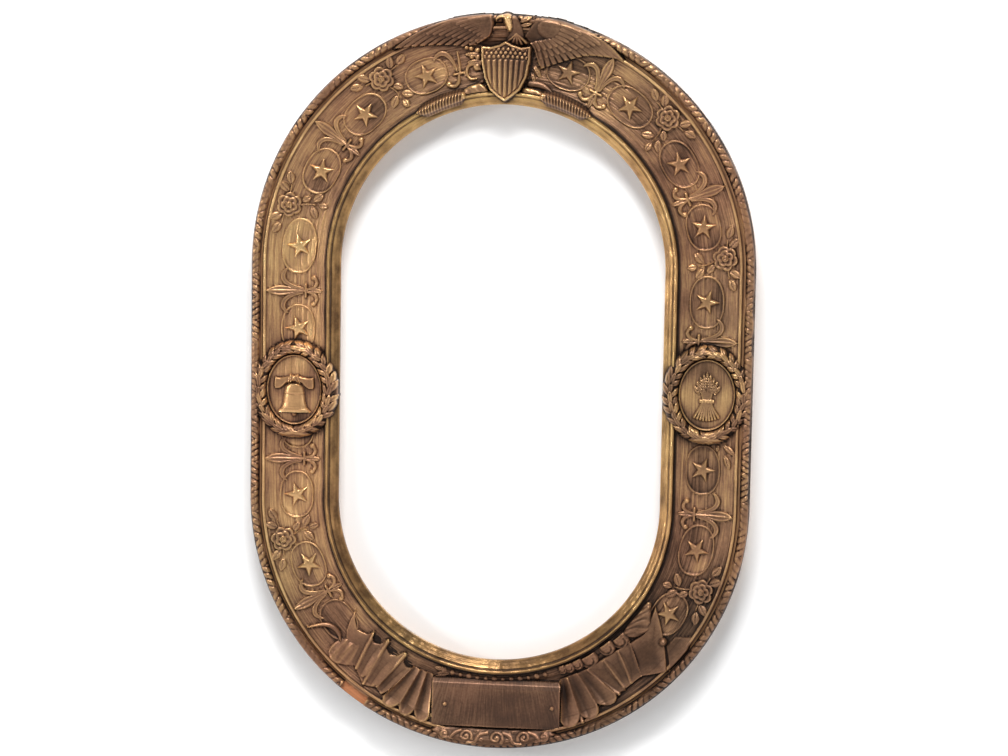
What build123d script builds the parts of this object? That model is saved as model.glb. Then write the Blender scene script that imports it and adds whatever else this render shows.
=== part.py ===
from build123d import *
import math
import os

os.makedirs("parts", exist_ok=True)

# Driving sizes of the moulding, in millimetres
glass_width = 330.2
glass_height = 558.8
sight_lip = 6.35
glass_clearance = 1.5
band_width = 87.0
rebate_depth = 14.0
glue_line = 0.25
lip_edge = 4.0
seat_step = 0.5
liner_width = 13.0
ridge_height = 13.6
cove_inner_height = 8.5
cove_outer_height = 13.0
cove_depth = 5.0
fillet_width = 3.0
fillet_height = 15.0
groove_width = 2.5
rim_width = 9.5
rim_seat_height = 11.0
rim_side = 1.5

# Driving sizes of the joints and the back hardware
spline_length = 36.0
spline_width = 40.0
spline_thickness = 5.0
button_pivot_across = 18.0
button_spread = 90.0
button_reach = 16.0
button_half_width = 5.0
button_thickness = 1.5
running_gap = 0.2
screw_radius = 1.6
screw_length = 14.0
screw_head_radius = 3.2
screw_head_height = 2.0
thread_gap = 0.05
hanger_height = 40.0
hanger_across = 46.0
strap_width = 12.0
strap_length = 38.0
strap_thickness = 1.2
ring_wire_radius = 1.25
ring_inner_width = 20.0
ring_drop = 15.0
ring_lift = 0.3
pin_gap = 0.08

# Driving sizes of the applied ornaments: how far each stands above the moulding
field_rise = 1.4
border_rise = 2.4
star_rise = 2.2
fleur_rise = 3.0
leaf_rise = 2.4
bloom_rise = 5.5
low_rise = 4.0
high_rise = 7.0
cartouche_height = 34.0
cartouche_across = 41.0
cartouche_border = 1.8
star_radius = 12.0
star_waist = 0.45
fleur_reach = 26.0
fleur_bar_across = 33.0
fleur_bar_length = 12.0
fleur_bar_width = 3.2
rose_across = 58.0
rose_reach = 36.0
rose_leaf_disc = 9.0
petal_count = 5
petal_spread = 6.0
petal_radius = 6.2
bloom_reach = 14.0
wreath_length = 96.0
wreath_breadth = 86.0
wreath_across = 43.4
wreath_height = 21.5
wreath_round = 4.0
medallion_length = 70.0
medallion_breadth = 55.0
medallion_border = 2.4
medallion_height = 12.0
medallion_rim_height = 14.5
relief_height = 3.2
plate_length = 127.5
plate_aside = 2.25
pin_middle = 4.9
pin_apart = 106.4
plate_breadth = 43.0
plate_across = 44.0
plate_height = 15.5
plate_border = 2.0
plate_field_depth = 0.8

# Sizes that follow from the driving sizes
straight = glass_height - glass_width
half_straight = straight / 2
sight_radius = glass_width / 2 - sight_lip
outer_radius = sight_radius + band_width
middle_radius = sight_radius + band_width / 2
quarter_turn = middle_radius * math.pi / 2
perimeter = 4 * quarter_turn + 2 * straight
rebate_across = sight_lip + glass_clearance
liner_seat = seat_step - glue_line
lip_end = rebate_across - glue_line
cove_start = liner_width + glue_line
rim_start = band_width - rim_width
fillet_end = rim_start - groove_width
cove_end = fillet_end - fillet_width
rim_middle = band_width - rim_width / 2
rim_base_height = rim_seat_height + glue_line
rim_round = rim_width / 2
rim_center_height = rim_base_height + rim_side
rim_height = rim_center_height + rim_round
groove_meet = rim_middle - math.sqrt(rim_round ** 2 - (fillet_height - rim_center_height) ** 2)
ridge_start = liner_width - 3.5
ridge_end = liner_width - 0.5
ridge_shoulder = ridge_height - 1.0

# Landmarks along the middle line of the band, clockwise from the top seen from the front
right_mark = quarter_turn + half_straight
bottom_mark = perimeter / 2
left_mark = perimeter - right_mark
cut_depth = 60.0
to_viewer = (0, -1, 0)


# The point of the band at a station along it and a distance across from the sight edge
def place(station, across):
    along = station % perimeter
    radius = sight_radius + across
    if along < quarter_turn:
        angle = along / middle_radius
        return (radius * math.sin(angle), half_straight + radius * math.cos(angle))
    if along < quarter_turn + straight:
        return (radius, half_straight - (along - quarter_turn))
    if along < 3 * quarter_turn + straight:
        angle = math.pi / 2 + (along - quarter_turn - straight) / middle_radius
        return (radius * math.sin(angle), -half_straight + radius * math.cos(angle))
    if along < 3 * quarter_turn + 2 * straight:
        return (-radius, -half_straight + (along - 3 * quarter_turn - straight))
    angle = 3 * math.pi / 2 + (along - 3 * quarter_turn - 2 * straight) / middle_radius
    return (radius * math.sin(angle), half_straight + radius * math.cos(angle))


# The plane of the band at a station: x runs along the band, y outwards, z towards the viewer
def band_plane(station):
    near = place(station, 0)
    far = place(station, 100)
    out_x = (far[0] - near[0]) / 100
    out_z = (far[1] - near[1]) / 100
    return Plane(origin=(near[0], 0, near[1]), x_dir=(out_z, 0, -out_x), z_dir=(0, -1, 0))


# The four lengths of the band made from one cross-section
def upper_length(section):
    with BuildPart() as length:
        with BuildSketch(Plane.XY.offset(half_straight)):
            add(section)
        revolve(axis=Axis((0, 0, half_straight), (0, -1, 0)), revolution_arc=180)
    return length.part


def lower_length(section):
    with BuildPart() as length:
        with BuildSketch(Plane.XY.offset(-half_straight)):
            add(section)
        revolve(axis=Axis((0, 0, -half_straight), (0, 1, 0)), revolution_arc=180)
    return length.part


def right_length(section):
    with BuildPart() as length:
        with BuildSketch(Plane.XY.offset(-half_straight)):
            add(section)
        extrude(amount=straight)
    return length.part


def left_length(section):
    with BuildPart() as length:
        with BuildSketch(Plane.XY.offset(-half_straight)):
            add(mirror(section, about=Plane.YZ))
        extrude(amount=straight)
    return length.part


def whole_ring(section):
    with BuildPart() as ring:
        add(upper_length(section))
        add(right_length(section))
        add(lower_length(section))
        add(left_length(section))
    return ring.part


# Points of the cross-section: distance from the axis and depth, the front being negative
def at(across, height):
    return (sight_radius + across, -height)


cove_tilt = math.atan2(cove_outer_height - cove_inner_height, cove_end - cove_start)
cove_middle = (cove_start + cove_end) / 2 + cove_depth * math.sin(cove_tilt)
cove_middle_height = (cove_inner_height + cove_outer_height) / 2 - cove_depth * math.cos(cove_tilt)

# Cross-section of the wooden core
with BuildSketch() as core_section:
    with BuildLine():
        Line(at(rebate_across, -rebate_depth), at(rebate_across, liner_seat))
        Line(at(rebate_across, liner_seat), at(cove_start, liner_seat))
        Line(at(cove_start, liner_seat), at(cove_start, cove_inner_height))
        ThreePointArc(
            at(cove_start, cove_inner_height),
            at(cove_middle, cove_middle_height),
            at(cove_end, cove_outer_height),
        )
        Line(at(cove_end, cove_outer_height), at(cove_end, fillet_height))
        Line(at(cove_end, fillet_height), at(fillet_end, fillet_height))
        Line(at(fillet_end, fillet_height), at(fillet_end, rim_seat_height))
        Line(at(fillet_end, rim_seat_height), at(band_width, rim_seat_height))
        Line(at(band_width, rim_seat_height), at(band_width, -rebate_depth))
        Line(at(band_width, -rebate_depth), at(rebate_across, -rebate_depth))
    make_face()

# Cross-section of the gilt sight liner
with BuildSketch() as liner_section:
    with BuildLine():
        Line(at(0, 0), at(0, lip_edge))
        Line(at(0, lip_edge), at(ridge_start, ridge_shoulder))
        ThreePointArc(
            at(ridge_start, ridge_shoulder),
            at((ridge_start + ridge_end) / 2, ridge_height),
            at(ridge_end, ridge_shoulder),
        )
        Line(at(ridge_end, ridge_shoulder), at(liner_width, ridge_shoulder - 1))
        Line(at(liner_width, ridge_shoulder - 1), at(liner_width, seat_step))
        Line(at(liner_width, seat_step), at(lip_end, seat_step))
        Line(at(lip_end, seat_step), at(lip_end, 0))
        Line(at(lip_end, 0), at(0, 0))
    make_face()

# Cross-section of the half-round rim moulding
with BuildSketch() as rim_section:
    with BuildLine():
        Line(at(rim_start, rim_base_height), at(rim_start, rim_center_height))
        ThreePointArc(
            at(rim_start, rim_center_height),
            at(rim_middle, rim_height),
            at(band_width, rim_center_height),
        )
        Line(at(band_width, rim_center_height), at(band_width, rim_base_height))
        Line(at(band_width, rim_base_height), at(rim_start, rim_base_height))
    make_face()


# Cross-section of everything under the ornaments, grown towards the front by a rise
def bed_section(rise):
    with BuildSketch() as section:
        with BuildLine():
            Line(at(0, -3), at(0, lip_edge))
            Line(at(0, lip_edge), at(ridge_start, ridge_shoulder))
            ThreePointArc(
                at(ridge_start, ridge_shoulder),
                at((ridge_start + ridge_end) / 2, ridge_height),
                at(ridge_end, ridge_shoulder),
            )
            Line(at(ridge_end, ridge_shoulder), at(liner_width, ridge_shoulder - 1))
            Line(at(liner_width, ridge_shoulder - 1), at(cove_start, cove_inner_height))
            ThreePointArc(
                at(cove_start, cove_inner_height),
                at(cove_middle, cove_middle_height),
                at(cove_end, cove_outer_height),
            )
            Line(at(cove_end, cove_outer_height), at(cove_end, fillet_height))
            Line(at(cove_end, fillet_height), at(groove_meet, fillet_height))
            ThreePointArc(
                at(groove_meet, fillet_height),
                at(rim_middle, rim_height),
                at(band_width, rim_center_height),
            )
            Line(at(band_width, rim_center_height), at(band_width, -3))
            Line(at(band_width, -3), at(0, -3))
        make_face()
        offset(amount=rise)
    return section.sketch


# A layer over the moulding between two rises
def cover(low, high):
    with BuildSketch() as section:
        add(bed_section(high))
        add(bed_section(low), mode=Mode.SUBTRACT)
    return whole_ring(section.sketch)


# A layer over the hollow field only, between two rises
cove_chord = math.hypot(cove_end - cove_start, cove_outer_height - cove_inner_height)
cove_radius = (cove_chord ** 2 / 4 + cove_depth ** 2) / (2 * cove_depth)
cove_axis_across = cove_middle - cove_radius * math.sin(cove_tilt)
cove_axis_height = cove_middle_height + cove_radius * math.cos(cove_tilt)


def field_layer(low, high):
    with BuildSketch() as section:
        with Locations(at(cove_axis_across, cove_axis_height)):
            Circle(cove_radius - low)
            Circle(cove_radius - high, mode=Mode.SUBTRACT)
        with Locations(at(cove_middle, cove_middle_height)):
            Rectangle(cove_end - cove_start - 2 * glue_line, 40, mode=Mode.INTERSECT)
    return whole_ring(section.sketch)


print("layers")
bed = whole_ring(bed_section(glue_line))
low_cover = cover(glue_line, low_rise)
high_cover = cover(glue_line, high_rise)
field_cover = field_layer(glue_line, field_rise)
border_cover = field_layer(glue_line, border_rise)
star_cover = field_layer(field_rise + glue_line, field_rise + glue_line + star_rise)
fleur_cover = field_layer(glue_line, fleur_rise)
leaf_cover = field_layer(glue_line, leaf_rise)
bloom_cover = field_layer(glue_line, bloom_rise)

# Screws of the back hardware are set out first, because the core is drilled for them
back_face = rebate_depth
button_back = back_face + running_gap
button_head_seat = button_back + button_thickness + running_gap
strap_back = back_face + running_gap
barrel_bore = ring_wire_radius + pin_gap
barrel_radius = barrel_bore + strap_thickness
barrel_depth = strap_back + barrel_radius + ring_lift
hanger_x = sight_radius + hanger_across
strap_bottom = hanger_height
screw_low = strap_bottom + 9.0
screw_high = strap_bottom + strap_length - 7.0
button_x = sight_radius + button_pivot_across
button_points = [
    (-button_x, button_spread),
    (button_x, button_spread),
    (-button_x, -button_spread),
    (button_x, -button_spread),
]
strap_points = [
    (-hanger_x, screw_low),
    (-hanger_x, screw_high),
    (hanger_x, screw_low),
    (hanger_x, screw_high),
]


# Pilot holes for every screw in the back of the core
with BuildPart() as pilot_holes:
    with BuildSketch(Plane.XZ.offset(-back_face - 1)):
        with Locations(*button_points, *strap_points):
            Circle(screw_radius + thread_gap)
    extrude(amount=screw_length + 1 + glue_line)

# Slots for the splines in the ends of the four lengths
spline_middle = band_width / 2
spline_depth = rebate_depth / 2 - 1.5
with BuildPart() as spline_slots:
    for side in (-1, 1):
        for end in (-1, 1):
            with Locations((side * (sight_radius + spline_middle), spline_depth, end * half_straight)):
                Box(
                    spline_width + 2 * glue_line,
                    spline_thickness + 2 * glue_line,
                    spline_length + 2 * glue_line,
                )

print("core")
with BuildPart() as top_arch:
    add(upper_length(core_section.sketch))
    add(spline_slots.part, mode=Mode.SUBTRACT)
    add(pilot_holes.part, mode=Mode.SUBTRACT)
top_arch.part.label = "top_arch"
export_step(top_arch.part, "parts/top_arch.step")

with BuildPart() as bottom_arch:
    add(lower_length(core_section.sketch))
    add(spline_slots.part, mode=Mode.SUBTRACT)
    add(pilot_holes.part, mode=Mode.SUBTRACT)
bottom_arch.part.label = "bottom_arch"
export_step(bottom_arch.part, "parts/bottom_arch.step")

with BuildPart() as left_rail:
    add(left_length(core_section.sketch))
    add(spline_slots.part, mode=Mode.SUBTRACT)
    add(pilot_holes.part, mode=Mode.SUBTRACT)
left_rail.part.label = "left_rail"
export_step(left_rail.part, "parts/left_rail.step")

with BuildPart() as right_rail:
    add(right_length(core_section.sketch))
    add(spline_slots.part, mode=Mode.SUBTRACT)
    add(pilot_holes.part, mode=Mode.SUBTRACT)
right_rail.part.label = "right_rail"
export_step(right_rail.part, "parts/right_rail.step")

with BuildPart() as joint_splines:
    for side in (-1, 1):
        for end in (-1, 1):
            with Locations((side * (sight_radius + spline_middle), spline_depth, end * half_straight)):
                Box(spline_width, spline_thickness, spline_length)
joint_splines.part.label = "joint_splines"
export_step(joint_splines.part, "parts/joint_splines.step")

with BuildPart() as sight_liner:
    add(whole_ring(liner_section.sketch))
sight_liner.part.label = "sight_liner"
export_step(sight_liner.part, "parts/sight_liner.step")

# The chip that is broken out of the rim at the lower left
chip_start = bottom_mark + 113.0
chip_end = bottom_mark + 137.0
chip_corners = [
    place(chip_start, rim_start - 2),
    place(chip_start + 2, rim_middle),
    place(chip_start, band_width + 4),
    place((chip_start + chip_end) / 2, band_width + 6),
    place(chip_end, band_width + 4),
    place(chip_end - 1, rim_middle),
    place(chip_end + 1, rim_start - 2),
]
with BuildPart() as rim_chip:
    with BuildSketch(Plane.XZ):
        with BuildLine():
            Polyline(*chip_corners, close=True)
        make_face()
    extrude(amount=cut_depth)

with BuildPart() as leaf_rim_top:
    add(upper_length(rim_section.sketch))
leaf_rim_top.part.label = "leaf_rim_top"
export_step(leaf_rim_top.part, "parts/leaf_rim_top.step")

with BuildPart() as leaf_rim_bottom:
    add(lower_length(rim_section.sketch))
    add(rim_chip.part, mode=Mode.SUBTRACT)
leaf_rim_bottom.part.label = "leaf_rim_bottom"
export_step(leaf_rim_bottom.part, "parts/leaf_rim_bottom.step")

with BuildPart() as leaf_rim_left:
    add(left_length(rim_section.sketch))
leaf_rim_left.part.label = "leaf_rim_left"
export_step(leaf_rim_left.part, "parts/leaf_rim_left.step")

with BuildPart() as leaf_rim_right:
    add(right_length(rim_section.sketch))
leaf_rim_right.part.label = "leaf_rim_right"
export_step(leaf_rim_right.part, "parts/leaf_rim_right.step")


# A leaf from its stalk to its tip, as points of its edge grown by a margin
def leaf_points(stalk, tip, half, margin):
    size = math.hypot(tip[0] - stalk[0], tip[1] - stalk[1])
    unit_x = (tip[0] - stalk[0]) / size
    unit_y = (tip[1] - stalk[1]) / size
    left_edge = []
    right_edge = []
    for step in range(9):
        along = -3 * margin + (size + 6 * margin) * step / 8
        aside = (half + margin) * math.sin(math.pi * step / 8) ** 0.8
        middle_x = stalk[0] + unit_x * along
        middle_y = stalk[1] + unit_y * along
        left_edge.append((middle_x - unit_y * aside, middle_y + unit_x * aside))
        if 0 < step < 8:
            right_edge.append((middle_x + unit_y * aside, middle_y - unit_x * aside))
    right_edge.reverse()
    return left_edge + right_edge


# A curling strip with a round end, as points of its edge grown by a margin
def scroll_points(start, bend, end, half_start, half_end, margin):
    left_edge = []
    right_edge = []
    for step in range(9):
        u = step / 8
        middle_x = (1 - u) ** 2 * start[0] + 2 * u * (1 - u) * bend[0] + u ** 2 * end[0]
        middle_y = (1 - u) ** 2 * start[1] + 2 * u * (1 - u) * bend[1] + u ** 2 * end[1]
        along_x = 2 * (1 - u) * (bend[0] - start[0]) + 2 * u * (end[0] - bend[0])
        along_y = 2 * (1 - u) * (bend[1] - start[1]) + 2 * u * (end[1] - bend[1])
        size = math.hypot(along_x, along_y)
        half = half_start + (half_end - half_start) * u + margin
        left_edge.append((middle_x - along_y / size * half, middle_y + along_x / size * half))
        right_edge.append((middle_x + along_y / size * half, middle_y - along_x / size * half))
    cap = []
    half = half_end + margin
    for step in range(1, 6):
        turn = math.pi / 2 - math.pi * step / 6
        forward = half * math.cos(turn)
        aside = half * math.sin(turn)
        cap.append((
            end[0] + along_x / size * forward - along_y / size * aside,
            end[1] + along_y / size * forward + along_x / size * aside,
        ))
    right_edge.reverse()
    return left_edge + cap + right_edge


# Outline of a fleur-de-lis, grown all round by a margin
def fleur_outline(station, margin, left=True, right=True):
    shapes = []
    if left and right:
        shapes.append(leaf_points((0, 32), (0, 70.5), 5.2, margin))
        shapes.append(leaf_points((0, 34.5), (0, 16.5), 3.2, margin))
    if left:
        shapes.append(scroll_points((-1, 33.5), (-5, 53), (-22, 53.5), 2.4, 2.2, margin))
        shapes.append(scroll_points((-1, 32.5), (-3, 23), (-14, 26), 2.2, 2.8, margin))
    if right:
        shapes.append(scroll_points((1, 33.5), (5, 53), (22, 53.5), 2.4, 2.2, margin))
        shapes.append(scroll_points((1, 32.5), (3, 23), (14, 26), 2.2, 2.8, margin))
    with BuildSketch(band_plane(station)) as outline:
        for shape in shapes:
            with BuildLine():
                Polyline(*shape, close=True)
            make_face()
        with Locations((0, fleur_bar_across)):
            Rectangle(fleur_bar_length + 2 * margin, fleur_bar_width + 2 * margin)
    return outline.sketch


fleur_stations = {
    "fleur_upper_right": 96.0,
    "fleur_right_arch": 241.0,
    "fleur_right_side": right_mark - 49.0,
    "fleur_lower_right": right_mark + 120.0,
    "fleur_lower_left": left_mark - 219.0,
    "fleur_left_side": left_mark - 78.0,
    "fleur_left_arch": left_mark + 88.0,
    "fleur_upper_left": perimeter - 186.0,
}
half_fleur_station = perimeter - 46.0

rose_stations = {
    "rose_upper_right": 165.0,
    "rose_right_arch": 303.0,
    "rose_lower_right": right_mark + 192.0,
    "rose_lower_left": left_mark - 156.0,
    "rose_left_arch": left_mark + 169.0,
    "rose_upper_left": perimeter - 118.0,
}

# Each cartouche: station, length along the band, and whether it carries a star
cartouche_table = {
    "cartouches_upper": [
        (perimeter - 151.0, 47.0, True),
        (perimeter - 79.0, 43.0, True),
        (63.0, 44.0, True),
        (132.0, 49.0, True),
        (206.0, 49.0, True),
    ],
    "cartouches_right": [
        (272.0, 46.0, True),
        (right_mark - 87.0, 52.0, True),
        (right_mark + 76.0, 50.0, True),
    ],
    "cartouches_lower": [
        (right_mark + 156.0, 52.0, True),
        (right_mark + 226.0, 46.0, True),
        (left_mark - 250.0, 44.0, False),
        (left_mark - 186.0, 47.0, True),
    ],
    "cartouches_left": [
        (left_mark - 114.0, 48.0, True),
        (left_mark - 48.0, 40.0, False),
        (left_mark + 51.0, 48.0, True),
        (left_mark + 132.0, 55.0, True),
        (left_mark + 210.0, 47.0, True),
    ],
}


# The leaf spray of a rose: each leaf with its stalk end, its tip and its half width
rose_leaves = [
    ((-9, 60), (-33, 66), 4.0),
    ((-10, 63), (-17, 71), 3.0),
    ((9, 60), (33, 63), 4.0),
    ((10, 63), (15, 71), 3.0),
    ((1, 50), (-6, 28), 3.2),
    ((3, 50), (7, 20), 3.4),
    ((4, 50), (17, 28), 3.2),
]


def rose_leaf_outline(station, margin):
    with BuildSketch(band_plane(station)) as outline:
        for start, tip, bulge in rose_leaves:
            with BuildLine():
                Polyline(*leaf_points(start, tip, bulge, margin), close=True)
            make_face()
        with Locations((0, rose_across)):
            Circle(rose_leaf_disc + margin)
    return outline.sketch


def bloom_outline(station, margin):
    with BuildSketch(band_plane(station)) as outline:
        with Locations((0, rose_across)):
            with PolarLocations(petal_spread, petal_count, start_angle=90):
                Circle(petal_radius + margin)
            Circle(petal_spread)
    return outline.sketch


wreath_stations = {"left_wreath": left_mark - 9.0, "right_wreath": right_mark + 2.0}


# A face on the front of the frame through points of the band
def band_face(points, shift, margin):
    with BuildSketch(Plane.XZ) as face:
        with BuildLine():
            Polyline(*[place(shift + station, across) for station, across in points], close=True)
        make_face()
        if margin > 0:
            offset(amount=margin)
    return face.sketch


# Outlines of the crest, as stations from the top and distances across the band
right_wing_outline = [
    (19, 68), (25, 80), (32, 85.5), (45, 86.4), (70, 84), (92, 79), (105, 74),
    (92, 69.5), (75, 63.5), (60, 54), (47, 45), (36, 37.5), (31, 45), (29, 56),
]
right_shoulder_outline = [
    (22, 70), (27, 80), (34, 84.5), (48, 84.5), (60, 80), (52, 70), (38, 62), (30, 60),
]
left_wing_outline = [
    (-14.5, 66), (-14.5, 76), (-17, 84), (-38, 85.5), (-75, 81), (-95, 76.5),
    (-78, 70), (-63, 65.5), (-48, 64.5), (-37, 58.5), (-26, 60),
]
left_shoulder_outline = [
    (-16.5, 68), (-16.5, 77), (-19, 82.5), (-38, 83.5), (-58, 79), (-48, 71), (-34, 64), (-24, 63),
]
body_outline = [
    (-7, 60), (-1, 66), (4, 72), (3, 78), (-2, 80), (-6, 77.5), (-8, 79), (-7, 84),
    (-2, 87), (5, 86.4), (10, 82), (13, 74), (17, 66), (19, 60),
]
shield_outline = [
    (-20.5, 56), (-12, 54.5), (-4, 56), (1.5, 59), (8, 56), (16, 54.5), (24, 57), (25.5, 45),
    (24.5, 28), (19, 15), (9, 7), (1.5, 3), (-6, 7), (-15, 14), (-20, 26), (-21.5, 42),
]
foot_outline = [
    (-23, 57), (-30, 57), (-36, 50), (-38, 38), (-33, 27), (-27, 24), (-23.5, 30), (-23, 42),
]


# Outlines of the drapery, as stations from the bottom and distances across the band
right_sheet_outline = [
    (-206, 26), (-192, 43), (-178, 60), (-164, 75), (-152, 66), (-142, 63), (-120, 65), (-108, 73),
    (-98, 70), (-89, 75), (-79, 71), (-67, 75), (-62, 72), (-66, 52), (-73, 29),
    (-94, 27), (-119, 27), (-144, 30), (-159, 33), (-175, 34), (-194, 29),
]
left_sheet_outline = [
    (62, 72), (66, 75), (72, 69), (81, 76), (91, 71), (98, 75), (106, 67), (112, 64), (117, 60),
    (123, 72), (129, 65), (137, 62), (150, 72), (163, 74), (166, 68), (166, 50), (172, 40),
    (176, 31), (181, 20), (171, 28), (161, 33), (151, 29), (146, 25), (141, 31), (131, 21),
    (121, 27), (111, 20), (101, 26), (86, 27), (72, 28), (66, 50),
]
# Each fold: its gathered end, its wide end and its half width
right_folds = [
    ((-77, 33), (-70, 66), 6.4),
    ((-88, 33), (-89, 66), 6.4),
    ((-99, 33), (-106, 64), 6.4),
    ((-114, 31), (-120, 60), 3.0),
    ((-133, 33), (-136, 60), 3.0),
    ((-150, 36), (-146, 60), 3.0),
]
left_folds = [
    ((73, 33), (69, 66), 6.0),
    ((82, 33), (81.5, 68), 6.0),
    ((91, 33), (97, 66), 6.0),
    ((107, 29), (111, 58), 3.6),
    ((124, 31), (122, 62), 3.6),
    ((139, 34), (138, 58), 3.0),
    ((152, 40), (152, 64), 8.0),
]

knob_station = bottom_mark - 181.0
knob_across = 53.0
knob_radius = 4.5


# A block standing on a face of the front plane, long enough to cut with
def standing(face):
    with BuildPart() as block:
        extrude(face, amount=cut_depth, dir=to_viewer)
    return block.part


def knob_face(margin):
    with BuildSketch(Plane.XZ) as face:
        with Locations(place(knob_station, knob_across)):
            Circle(knob_radius + margin)
    return face.sketch


def wreath_face(station, margin):
    with BuildSketch(band_plane(station)) as face:
        with Locations((0, wreath_across)):
            Ellipse(wreath_length / 2 + margin, wreath_breadth / 2 + margin)
    return face.sketch


# Room kept free under the ornaments laid on top: middle station, reach along the band, block
shield_room = standing(band_face(shield_outline, 0, glue_line))
right_wing_room = standing(band_face(right_wing_outline, 0, glue_line))
left_wing_room = standing(band_face(left_wing_outline, 0, glue_line))
body_room = standing(band_face(body_outline, 0, glue_line))
foot_room = standing(band_face(foot_outline, 0, glue_line))
top_rooms = [
    (0.0, 28.0, shield_room),
    (62.0, 46.0, right_wing_room),
    (-55.0, 44.0, left_wing_room),
    (5.0, 18.0, body_room),
    (-30.0, 12.0, foot_room),
    (bottom_mark - 134.0, 75.0, standing(band_face(right_sheet_outline, bottom_mark, glue_line))),
    (bottom_mark + 121.0, 63.0, standing(band_face(left_sheet_outline, bottom_mark, glue_line))),
    (knob_station, knob_radius + 1.0, standing(knob_face(glue_line))),
]
for station in wreath_stations.values():
    top_rooms.append((station, wreath_length / 2 + 1.0, standing(wreath_face(station, glue_line))))

middle_rooms = []
for station in fleur_stations.values():
    middle_rooms.append((station, fleur_reach, standing(fleur_outline(station, glue_line))))
half_fleur_room = standing(fleur_outline(half_fleur_station, glue_line, right=False))
middle_rooms.append((half_fleur_station, fleur_reach, half_fleur_room))
for station in rose_stations.values():
    middle_rooms.append((station, rose_reach, standing(rose_leaf_outline(station, glue_line))))
    middle_rooms.append((station, bloom_reach, standing(bloom_outline(station, glue_line))))


# The rooms that reach a piece of the band
def rooms_near(rooms, station, half_length):
    near = []
    for middle, reach, block in rooms:
        apart = abs(middle - station) % perimeter
        if min(apart, perimeter - apart) < reach + half_length:
            near.append(block)
    return near


# The solid of an oval cartouche: a thin field with a raised border
def oval_field(station, length):
    with BuildPart() as oval:
        with BuildSketch(band_plane(station)):
            with Locations((0, cartouche_across)):
                Ellipse(length / 2, cartouche_height / 2)
        extrude(amount=cut_depth)
        add(field_cover, mode=Mode.INTERSECT)
    return oval.part


def oval_border(station, length):
    with BuildPart() as border:
        with BuildSketch(band_plane(station)):
            with Locations((0, cartouche_across)):
                Ellipse(length / 2, cartouche_height / 2)
                Ellipse(
                    length / 2 - cartouche_border,
                    cartouche_height / 2 - cartouche_border,
                    mode=Mode.SUBTRACT,
                )
        extrude(amount=cut_depth)
        add(border_cover, mode=Mode.INTERSECT)
    return border.part


def cartouche_solid(station, length):
    with BuildPart() as cartouche:
        add(oval_border(station, length))
        add(oval_field(station, length))
        for block in rooms_near(top_rooms + middle_rooms, station, length / 2):
            add(block, mode=Mode.SUBTRACT)
    return cartouche.part


print("field ornaments")
star_stations = []
for name, group in cartouche_table.items():
    ovals = [cartouche_solid(station, length) for station, length, starred in group]
    with BuildPart() as cartouches:
        for oval in ovals:
            add(oval)
    cartouches.part.label = name
    export_step(cartouches.part, "parts/" + name + ".step")
    star_stations += [station for station, length, starred in group if starred]

star_points = []
for corner in range(10):
    reach = star_radius if corner % 2 == 0 else star_radius * star_waist
    turn = math.pi / 2 + corner * math.pi / 5
    star_points.append((reach * math.cos(turn), cartouche_across + reach * math.sin(turn)))


def star_solid(station):
    with BuildPart() as star:
        with BuildSketch(band_plane(station)):
            with BuildLine():
                Polyline(*star_points, close=True)
            make_face()
        extrude(amount=cut_depth)
        add(star_cover, mode=Mode.INTERSECT)
        for block in rooms_near(top_rooms, station, star_radius):
            add(block, mode=Mode.SUBTRACT)
    return star.part


star_solids = [star_solid(station) for station in star_stations]
with BuildPart() as stars:
    for star in star_solids:
        add(star)
stars.part.label = "stars"
export_step(stars.part, "parts/stars.step")

for name, station in fleur_stations.items():
    with BuildPart() as fleur:
        extrude(fleur_outline(station, 0), amount=cut_depth, dir=to_viewer)
        add(fleur_cover, mode=Mode.INTERSECT)
        for block in rooms_near(top_rooms, station, fleur_reach):
            add(block, mode=Mode.SUBTRACT)
    fleur.part.label = name
    export_step(fleur.part, "parts/" + name + ".step")

with BuildPart() as half_fleur:
    extrude(fleur_outline(half_fleur_station, 0, right=False), amount=cut_depth, dir=to_viewer)
    add(fleur_cover, mode=Mode.INTERSECT)
    for block in rooms_near(top_rooms, half_fleur_station, fleur_reach):
        add(block, mode=Mode.SUBTRACT)
half_fleur.part.label = "half_fleur"
export_step(half_fleur.part, "parts/half_fleur.step")

for name, station in rose_stations.items():
    with BuildPart() as leaves:
        extrude(rose_leaf_outline(station, 0), amount=cut_depth, dir=to_viewer)
        add(leaf_cover, mode=Mode.INTERSECT)
    with BuildPart() as rose:
        extrude(bloom_outline(station, 0), amount=cut_depth, dir=to_viewer)
        add(bloom_cover, mode=Mode.INTERSECT)
        add(leaves.part)
        for block in rooms_near(top_rooms, station, rose_reach):
            add(block, mode=Mode.SUBTRACT)
    rose.part.label = name
    export_step(rose.part, "parts/" + name + ".step")

print("wreaths")
for name, station in wreath_stations.items():
    with BuildPart() as wreath:
        with BuildSketch(band_plane(station)):
            with Locations((0, wreath_across)):
                Ellipse(wreath_length / 2, wreath_breadth / 2)
                Ellipse(
                    medallion_length / 2 + glue_line,
                    medallion_breadth / 2 + glue_line,
                    mode=Mode.SUBTRACT,
                )
        extrude(amount=wreath_height)
        fillet(wreath.edges().group_by(Axis.Y)[0], radius=wreath_round)
        add(bed, mode=Mode.SUBTRACT)
    wreath.part.label = name
    export_step(wreath.part, "parts/" + name + ".step")

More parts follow.
